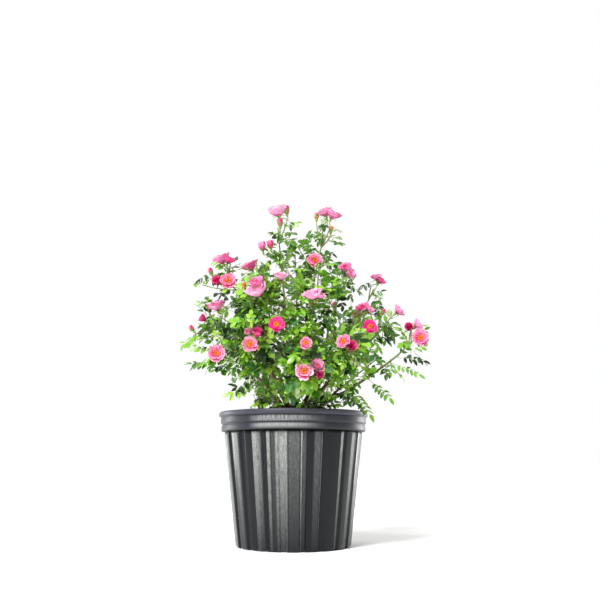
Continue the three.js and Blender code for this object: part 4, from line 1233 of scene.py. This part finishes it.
def soil_material():
    """Crumbly potting mix, dark red-brown."""
    material, bsdf = shader("potting_mix", "3a2620", 0.95, 0.2)
    nodes = Nodes(material.node_tree)
    fine = nodes.noise(420, 6, 0.7)
    colour = nodes.blend(nodes.range(fine, 0.3, 0.7), "1d1210", "54382c")
    colour = nodes.blend(nodes.range(nodes.noise(60, 3), 0.45, 0.75), colour, "2c1b16")
    nodes.finish(bsdf, colour, 0.95, fine, 0.0012, 1)
    return material


def bark_material(name, young, old, low, high):
    """Cane skin, which goes from old and brown near the soil to young and green higher up."""
    material, bsdf = shader(name, young, 0.5, 0.4)
    nodes = Nodes(material.node_tree)
    stretched = nodes.add("ShaderNodeMapping", {"Vector": nodes.place, "Scale": (900, 900, 120)})
    streaks = nodes.noise(1, 5, 0.65, stretched.outputs[0])
    height = nodes.plus(nodes.split()["Z"], nodes.range(nodes.noise(55, 4), 0.3, 0.7, -0.05, 0.05))
    colour = nodes.blend(nodes.range(height, low, high), old, young)
    darker = nodes.blend(nodes.range(streaks, 0.35, 0.7), colour, "3b2a1c")
    roughness = nodes.range(height, low, high, 0.85, 0.42)
    nodes.finish(bsdf, nodes.blend(0.35, colour, darker), roughness, streaks, 0.0006, 0.8)
    return material


LEAF_GREENS = {
    "mid": "70a82a", "bright": "8dbd36", "deep": "417314", "dark": "1a360c",
    "young": "94b63a", "cool": "477f3c", "sage": "a3bd7c", "fresh": "7cb02b",
}
# How often each green is dealt out, to the leaves of the solids, the finer ones and those on the outskirts.
# The outskirts take more of the deep greens and fewer bright ones, a painted shade of leaves lit from behind.
GREEN_SHARES = [0.27, 0.14, 0.16, 0.20, 0.02, 0.06, 0.06, 0.09]
YOUNG_SHARES = [0.26, 0.18, 0.12, 0.16, 0.05, 0.04, 0.05, 0.14]
SHADED_OUTER_SHARES = [0.28, 0.04, 0.38, 0.11, 0.01, 0.07, 0.03, 0.08]


def dealt(shares, draw):
    """The number of the share that a draw from 0 to 1 falls in."""
    return int(np.searchsorted(np.cumsum(shares), draw * sum(shares), side="right"))


leaf_materials = plain(*[("leaf_" + name, code, 0.32, 0.5) for name, code in LEAF_GREENS.items()])
petal_materials = plain(*[("petal_" + name, code, 0.5, 0.3) for name, code in PETAL_CODES.items()])
STALK, OLIVE_STALK, RED_STALK, THORN = range(4)
stalk_materials = plain(
    ("stalk_green", "7d9a3c", 0.5, 0.4), ("stalk_olive", "6b7f35", 0.5, 0.4),
    ("stalk_red", "8a5a3a", 0.5, 0.4), ("thorn_red", "9a5a42", 0.45, 0.4),
)
green_materials = plain(("hip_green", "86a03e", 0.45, 0.4), ("sepal_green", "6f8f3a", 0.5, 0.4))
stamen_materials = plain(
    ("anther_gold", "f0a428", 0.6, 0.3), ("filament_amber", "f2b648", 0.5, 0.3),
    ("heart_orange", "e0642a", 0.6, 0.3),
)


# The plant

GROUPS = {
    "left": "spire_left shoulder_left flank_left_up flank_left_low heart_left front_left skirt_left",
    "right": "spire_right heart_right front_right shoulder_right flank_right_up flank_right_mid far_right "
             "right_low skirt_right",
    "middle": "front_low heart_low back_top back_low_left back_low_right back_left back_right",
}
# The radius of a rose in the picture, in pixels, for a size of 1.
BLOOM_PIXELS = 7.4
# From this depth on a rose is on the far side, and how many pixels it may keep from an opening.
FAR_SIDE = 30
OPENING_EDGE = 4
# How far out the outskirts begin, from the middle line, and above this height from that height on it.
OUTSKIRTS = 115
OUTSKIRTS_HEIGHT = 380
# Above these lengths a leaf may have three pairs of leaflets, and a sprig has four or five.
LONG_LEAF = 50
LONG_SPRIG = 54
LONGEST_SPRIG = 70
# Where along a leaf its middle is taken to be.
LEAF_MIDDLE = 0.62
# The radii, sides and rings of a stem, a twig and a finer twig.
STEM_LOOK = ((1.9, 1.5, 1.0), 7, 14)
TWIG_LOOK = (np.linspace(1.35, 0.8, 12), 6, 12)
FINE_LOOK = (FINE_RADII, 4, 6)
# How far apart the thorns stand, and how long they are.
STEM_THORNS = (14, 3.2)
TWIG_THORNS = (26, 2.0)
CANE_THORNS = (9, 4.0)

everything = [grow_finer(number, grow(number)) for number in range(len(SPRAYS))]
# Each rose as it is seen from the front: across, down, its radius in pixels, and the depth up to which a
# leaflet would hide it.
BLOOMS_SEEN = np.array([
    (*seen_from_the_front(bloom["place"])[0], BLOOM_PIXELS * bloom["size"] * bloom["scale"],
     bloom["place"][1] + 8)
    for grown in everything for bloom in grown["blooms"] if bloom["place"][1] < FAR_SIDE
])
leaf_batches = {group: Batch() for group in GROUPS}
twig_batch, petal_batch, green_batch, stamen_batch = Batch(), Batch(), Batch(), Batch()


def draw_flowers(grown, random):
    """Draws the roses and buds of a spray. Returns where each one's stalk ends, by its twig."""
    ends = {}
    for bloom in grown["blooms"]:
        if bloom["place"][1] > FAR_SIDE and in_an_opening(bloom["place"], OPENING_EDGE).any():
            bloom["look"] = "bud rose"
        if bloom["look"].startswith("bud"):
            end = add_bud(petal_batch, green_batch, bloom, random)
        else:
            end = add_rose(petal_batch, green_batch, stamen_batch, bloom, random)
        ends[id(bloom["twig"])] = end
    return ends


def draw_leaves(grown, batch, random):
    """Draws the leaves of a spray. Returns the twigs that carry them."""
    carrying = set()
    for key, shares in (("leaves", GREEN_SHARES), ("fine_leaves", YOUNG_SHARES), ("sprigs", GREEN_SHARES)):
        keeps = key == "sprigs"
        for leaf in grown[key]:
            outer = math.hypot(leaf.root[0], max(0, leaf.root[2] - OUTSKIRTS_HEIGHT)) > OUTSKIRTS
            # Leaves on the outskirts take darker greens as painted shade.
            slot = dealt(SHADED_OUTER_SHARES if outer else shares, random())
            stalk_slot = STALK if random() < 0.7 else OLIVE_STALK
            pairs = 3 if leaf.length > LONG_LEAF and random() < 0.5 else 2
            if keeps and leaf.length > LONG_SPRIG:
                pairs = 4 if leaf.length < LONGEST_SPRIG else 5
            if keeps or not in_an_opening(leaf.place(0, LEAF_MIDDLE)).any():
                if add_leaf(batch, twig_batch, leaf, slot, stalk_slot, pairs, keeps, random):
                    carrying.add(id(leaf.twig))
    return carrying


for number, entry in enumerate(SPRAYS):
    grown = everything[number]
    batch = next(leaf_batches[group] for group, names in GROUPS.items() if entry["name"] in names.split())
    random = random_from(SEED + 9001 + 17 * number)
    add_limb(twig_batch, grown["stem"], *STEM_LOOK, OLIVE_STALK)
    add_thorns(twig_batch, grown["stem"], *STEM_THORNS, THORN, random)
    ends = draw_flowers(grown, random)
    carrying = draw_leaves(grown, batch, random) | set(ends)
    for twig in grown["twigs"]:
        slot = STALK if random() < 0.86 else RED_STALK
        if id(twig) in carrying:
            shown = twig if id(twig) in ends else cut_back(twig)
            add_limb(twig_batch, shown, *TWIG_LOOK, slot, ends.get(id(twig)))
            add_thorns(twig_batch, shown, *TWIG_THORNS, THORN, random)
    for twig in grown["fine_twigs"]:
        slot = STALK if random() < 0.86 else RED_STALK
        if id(twig) in carrying:
            add_limb(twig_batch, cut_back(twig), *FINE_LOOK, slot)


def finish_piece(piece, slot, *nodes):
    """Puts a piece on the part's one body and hides the nodes that it stands for. Its finish, slot, is not
    used.
    """
    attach(piece, "root")
    if nodes:
        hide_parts(*nodes)


for group, names in GROUPS.items():
    leaves = leaf_batches[group].make("leaves_" + group, leaf_materials)
    finish_piece(leaves, "foliage", *["spray_" + name for name in names.split()])
finish_piece(twig_batch.make("twigs", stalk_materials), "foliage")
finish_piece(petal_batch.make("petals", petal_materials), "foliage")
finish_piece(green_batch.make("hips_and_sepals", green_materials), "foliage")
finish_piece(stamen_batch.make("stamens", stamen_materials), "foliage")


# The canes and the crown

BARK, CANE_THORN = range(2)
CANE_SIDES = 12
CANE_RING_STEP = 1.6

cane_batch = Batch()
random = random_from(SEED + 31)
angles = angles_round(CANE_SIDES)
for cane in CANES.values():
    shares = np.linspace(0, 1, max(12, int(cane.length() / CANE_RING_STEP)))
    centres = cane.run(shares)
    wander = random() * TURN
    centres[:, 0] += 0.5 * np.sin(9 * shares + wander) * np.sin(math.pi * shares)
    centres[:, 1] += 0.5 * np.cos(7 * shares + wander) * np.sin(math.pi * shares)
    along = shares[:, None]
    ridges = 0.05 * np.sin(5 * angles + 1.3 * np.sin(40 * along + wander))
    knots = 0.16 * np.exp(-((along * cane.length() / 34 + wander) % 1 - 0.5) ** 2 / 0.004)
    relief = ridges + knots * (0.6 + 0.4 * np.cos(angles + wander))
    add_tube(cane_batch, centres, cane.radius_at(shares), CANE_SIDES, BARK, relief)
    add_thorns(cane_batch, cane, *CANE_THORNS, CANE_THORN, random)
cane_materials = [bark_material("cane_bark", "6f8437", "6a4f35", 0.25, 0.40), stalk_materials[THORN]]
finish_piece(cane_batch.make("canes", cane_materials), "cane", *["cane_" + name for name in CANES])


def crown_piece():
    """The knobbly crown, with a rough bark relief and the stubs of old pruned canes."""
    rows, columns = 40, 56
    heights = [0, 4, 10, 17, 24, CROWN_HEIGHT - 1, CROWN_HEIGHT]
    widths = [CROWN_FLARE, CROWN_FLARE - 2.5, CROWN_WAIST, CROWN_WAIST + 1.5, CROWN_WAIST - 2, 9, 0.5]
    batch = Batch()
    z = np.linspace(-3, CROWN_HEIGHT, rows)
    angles, up = angles_round(columns), z[:, None]
    knobs = 0.07 * np.sin(3 * angles + up / 5) + 0.04 * np.sin(5 * angles)
    rough = 0.035 * np.sin(13 * angles + 0.9 * up) * np.sin(0.8 * up + 4 * angles)
    centres = UP * (SOIL_TOP + GAP + up)
    add_tube(batch, centres, np.interp(z, heights, widths), columns, BARK, knobs + rough)
    for turn, lean, length in ((0.7, 0.9, 17), (2.6, 0.7, 14), (4.4, 1.0, 16), (5.6, 0.6, 12)):
        out = vector((math.cos(turn), math.sin(turn), 0))
        foot = UP * (SOIL_TOP + 16) + out * 10
        reach = unit(out * math.sin(lean) + UP * math.cos(lean))
        points = foot + reach * length * np.linspace(0, 1, 8)[:, None]
        add_tube(batch, points, np.linspace(5.6, 4.2, 8), 14, BARK)
    return batch.make("knobbly_crown", [bark_material("crown_bark", "6b5238", "5b4330", 0.21, 0.26)])


finish_piece(crown_piece(), "crown", "crown")


# The pot

RIDGE_HALF = 0.3
VALLEY_HALF = 0.41
FLUTE_SHARES = np.concatenate([
    np.linspace(-0.29, 0.29, 7), np.linspace(0.305, 0.405, 7), np.linspace(0.43, 0.57, 4),
    np.linspace(0.595, 0.695, 7),
])
FOOT_INSET = 2.2
FOOT_HEIGHT = 2.6
FLUTE_TOP = 6.5


def add_rings(batch, rows, angles, low, high):
    """A closed form of rings, each a radius and a height, and of fans to a centre at the low and high end."""
    radius, height = np.array([np.broadcast_arrays(*row, angles)[:2] for row in rows]).swapaxes(0, 1)
    points = np.stack([radius * np.sin(angles), -radius * np.cos(angles), height], 2).reshape(-1, 3)
    batch.add(np.concatenate([points, [[0, 0, low], [0, 0, high]]]), closed_faces(len(rows), len(angles)), 0)


def pot_piece():
    """The pot: rounded flutes under a band, a lip, and the inside down to the floor with its drain holes."""
    turns = (np.arange(FLUTES)[:, None] + FLUTE_SHARES).ravel()
    from_ridge = np.abs((turns + 0.5) % 1 - 0.5)
    valley = smooth((from_ridge - RIDGE_HALF) / (VALLEY_HALF - RIDGE_HALF))
    rows = []
    for z in (0, 0.6, 1.4, FOOT_HEIGHT, *np.linspace(10, 190, 19), *np.linspace(195, BAND_BOTTOM, 12)):
        foot = FOOT_INSET * (1 - smooth(z / FOOT_HEIGHT))
        up = clamp((z - (BAND_BOTTOM - FLUTE_TOP)) / FLUTE_TOP, 0, 1)
        body = BASE_RADIUS + (BODY_TOP_RADIUS - BASE_RADIUS) * z / BAND_BOTTOM
        rows.append((body - foot - FLUTE_DEPTH * np.maximum(valley, 1 - math.sqrt(1 - up * up)), z))
    # Each row gives a radius and a height, and how far from them its rings are.
    for radius, height, rings in (
        (ROLL_RADIUS, BAND_BOTTOM, ((-2.2, 0), (-0.7, 0.6), (0, 2), (-0.2, 6))),
        (ROLL_RADIUS, BAND_SPLIT, ((-0.9, -2.4), (-1.6, -1), (-1.9, -0.2), (-1.3, 0.6))),
        (BAND_RADIUS, BAND_SPLIT, ((-0.3, 1.6), (0, 3))),
        (BAND_RADIUS, LIP_BOTTOM, ((0, -1.6), (-0.5, -0.4), (-0.6, 0.1))),
        (RIM_RADIUS, LIP_BOTTOM, ((-1.2, 0.9), (-0.3, 2), (0, 3.4))),
        (RIM_RADIUS, POT_HEIGHT, ((0, -3), (-0.7, -1.2), (-2, -0.2), (-3.6, 0))),
        (RIM_RADIUS, POT_HEIGHT, ((-6, -0.4), (-7.4, -2), (-8, -5))),
        (BAND_RADIUS, BAND_BOTTOM, ((-5, 8),)),
        (inner_radius(BAND_BOTTOM), BAND_BOTTOM, ((2, 1), (0, -3))),
        (inner_radius(100), 100, ((0, 0),)),
        (inner_radius(FLOOR), FLOOR, ((0.5, 2), (-2, 0))),
    ):
        rows += [(radius + across, height + up) for across, up in rings]
    batch = Batch()
    add_rings(batch, rows, turns * TURN / FLUTES, 0, FLOOR)
    return batch.make("nursery_pot", [pot_material()])


def drill(piece):
    """Cuts the drain holes through the pot's floor."""
    cutters = Batch()
    for i in range(DRAIN_HOLES):
        angle = TURN * (i + 0.5) / DRAIN_HOLES
        x, y = DRAIN_CIRCLE * math.cos(angle), DRAIN_CIRCLE * math.sin(angle)
        add_tube(cutters, [(x, y, -FLOOR), (x, y, 3 * FLOOR)], [DRAIN_RADIUS, DRAIN_RADIUS], 32, 0)
    cutter = cutters.make("drain_cutter", [])
    cut = piece.modifiers.new("drain", "BOOLEAN")
    cut.operation = "DIFFERENCE"
    cut.solver = "EXACT"
    cut.object = cutter
    bpy.context.view_layer.update()
    mesh = bpy.data.meshes.new_from_object(piece.evaluated_get(bpy.context.evaluated_depsgraph_get()))
    piece.modifiers.clear()
    piece.data = mesh
    bpy.data.objects.remove(cutter)


pot = pot_piece()
drill(pot)
finish_piece(pot, "pot", "pot")


# The soil

SOIL_DIP = 5
CRUMBS = 2600
DARK_CRUMB, PERLITE, BARK_CRUMB = range(3)
CRUMB_CORNERS = np.array([axis * sign for axis in AXES for sign in (1, -1)])
CRUMB_FACES = [[0, 2, 4], [2, 1, 4], [1, 3, 4], [3, 0, 4], [2, 0, 5], [1, 2, 5], [3, 1, 5], [0, 3, 5]]


def soil_level(radius, x, y):
    """The height of the soil's loose top, which rolls and dips towards the pot's wall."""
    rolling = (
        1.3 * np.sin(0.071 * x + 1) * np.cos(0.063 * y) + 0.9 * np.sin(0.19 * x + 0.13 * y)
        + 0.6 * np.sin(0.41 * x - 0.37 * y + 2) + 0.4 * np.sin(0.83 * x + 0.9 * y)
    )
    return SOIL_TOP - 0.6 - SOIL_DIP * (radius / 128) ** 4 + rolling


def soil_piece():
    """The body of the soil, with its rolling top."""
    angles = angles_round(120)
    rows = [
        (inner_radius(FLOOR) - 1, FLOOR + GAP), (inner_radius(100) - 1, 100),
        (inner_radius(BAND_BOTTOM - 4) - 0.8, BAND_BOTTOM - 4),
        (inner_radius(BAND_BOTTOM) + 4.4, SOIL_TOP - 6),
    ]
    rows += [(r, soil_level(r, r * np.sin(angles), -r * np.cos(angles))) for r in np.linspace(122, 3, 46)]
    batch = Batch()
    add_rings(batch, rows, angles, FLOOR + GAP, SOIL_TOP)
    return batch.make("potting_soil", [soil_material()])


def crumbs_piece():
    """Loose crumbs of bark and specks of white perlite on the soil."""
    batch = Batch()
    random = random_from(SEED + 77)
    for _ in range(CRUMBS):
        radius, turn = 126 * math.sqrt(random()), TURN * random()
        x, y = radius * math.sin(turn), radius * math.cos(turn)
        if radius < CROWN_WAIST:
            continue
        speck = random() < 0.07
        size = (1.1 if speck else 1.5) * (0.5 + random())
        shape = CRUMB_CORNERS * [0.7 + random(), 0.7 + random(), 0.5 + 0.5 * random()] * size
        spin = TURN * random()
        lean = 0.8 * (random() - 0.5)
        c, s = math.cos(spin), math.sin(spin)
        turned = shape @ np.array([[c, s, lean], [-s, c, 0], [0, 0, 1]])
        place = (x, y, soil_level(radius, x, y) + 0.3 * size)
        slot = PERLITE if speck else DARK_CRUMB if random() < 0.6 else BARK_CRUMB
        batch.add(turned + place, CRUMB_FACES, slot)
    materials = plain(
        ("crumb_dark", "38241d", 0.95, 0.2), ("perlite", "d9d2c8", 0.9, 0.2),
        ("crumb_bark", "5b3c2e", 0.95, 0.2),
    )
    return batch.make("soil_crumbs", materials, smooth_faces=False)


finish_piece(soil_piece(), "soil", "soil")
finish_piece(crumbs_piece(), "soil")


# Floor, light and camera

FLOOR_HALF = 30
# Between which shares of the way back the studio's glow rises, and from what strength to what.
WORLD_GLOW = (-0.1, 0.5, 0.17, 1.25)


def make_floor():
    batch = Batch()
    side = FLOOR_HALF / MM
    batch.add([(x, y, -0.3) for x, y in ((-side, -side), (side, -side), (side, side), (-side, side))],
              [(0, 1, 2), (0, 2, 3)], 0)
    batch.make("floor", plain(("floor_white", "f7f7f6", 0.9, 0.1)), smooth_faces=False)


def make_sun(name, strength, angle, pitch, heading):
    """A soft sun from a heading, in degrees from the front to the right, and a pitch above level."""
    rotation = (math.radians(90 - pitch), 0, math.radians(heading))
    sun = bpy.data.lights.new(name, "SUN")
    put(name, sun, rotation=rotation, energy=strength, angle=math.radians(angle))


def make_panel(name, place, target, width, height, power):
    """A soft panel that lights the pot's flanks."""
    way = unit(vector(target) - vector(place))
    rotation = (math.acos(-way[2]), 0, math.atan2(way[1], way[0]) - math.pi / 2)
    size = {"shape": "RECTANGLE", "size": width, "size_y": height}
    put(name, bpy.data.lights.new(name, "AREA"), place, rotation, energy=power, **size)


def make_world():
    """White to the camera. As a light it is bright behind the plant and dim in front, as in a studio."""
    world = bpy.data.worlds.new("studio")
    world.use_nodes = True
    nodes = Nodes(world.node_tree, "Generated")
    glow = nodes.range(nodes.split()["Y"], *WORLD_GLOW)
    to_camera = nodes.add("ShaderNodeLightPath").outputs["Is Camera Ray"]
    background = world.node_tree.nodes["Background"]
    nodes.set(background, "Color", (1, 1, 1, 1))
    nodes.set(background, "Strength", nodes.range(to_camera, 0, 1, glow, 1))
    bpy.context.scene.world = world


def make_camera():
    values = {"lens": CAMERA_LENS, "sensor_width": CAMERA_SENSOR, "clip_end": 200}
    rotation = (math.pi / 2 + CAMERA_PITCH, 0, 0)
    camera = put("camera", bpy.data.cameras.new("camera"), CAMERA_PLACE, rotation, **values)
    bpy.context.scene.camera = camera


make_floor()
make_world()
make_sun("key", 3.9, 14, 50, -30)
make_sun("fill", 0.35, 60, 30, 60)
make_panel("front_panel", (-0.75, -1.3, 1.0), (0, 0, 0.2), 0.7, 0.5, 8)
make_panel("left_strip", (-1.23, 0.55, 0.25), (0, 0, 0.13), 0.28, 0.7, 8)
make_panel("right_strip", (1.06, 0.83, 0.25), (0, 0, 0.13), 0.42, 0.7, 8)
make_camera()
bpy.context.scene.view_settings.view_transform = "Standard"
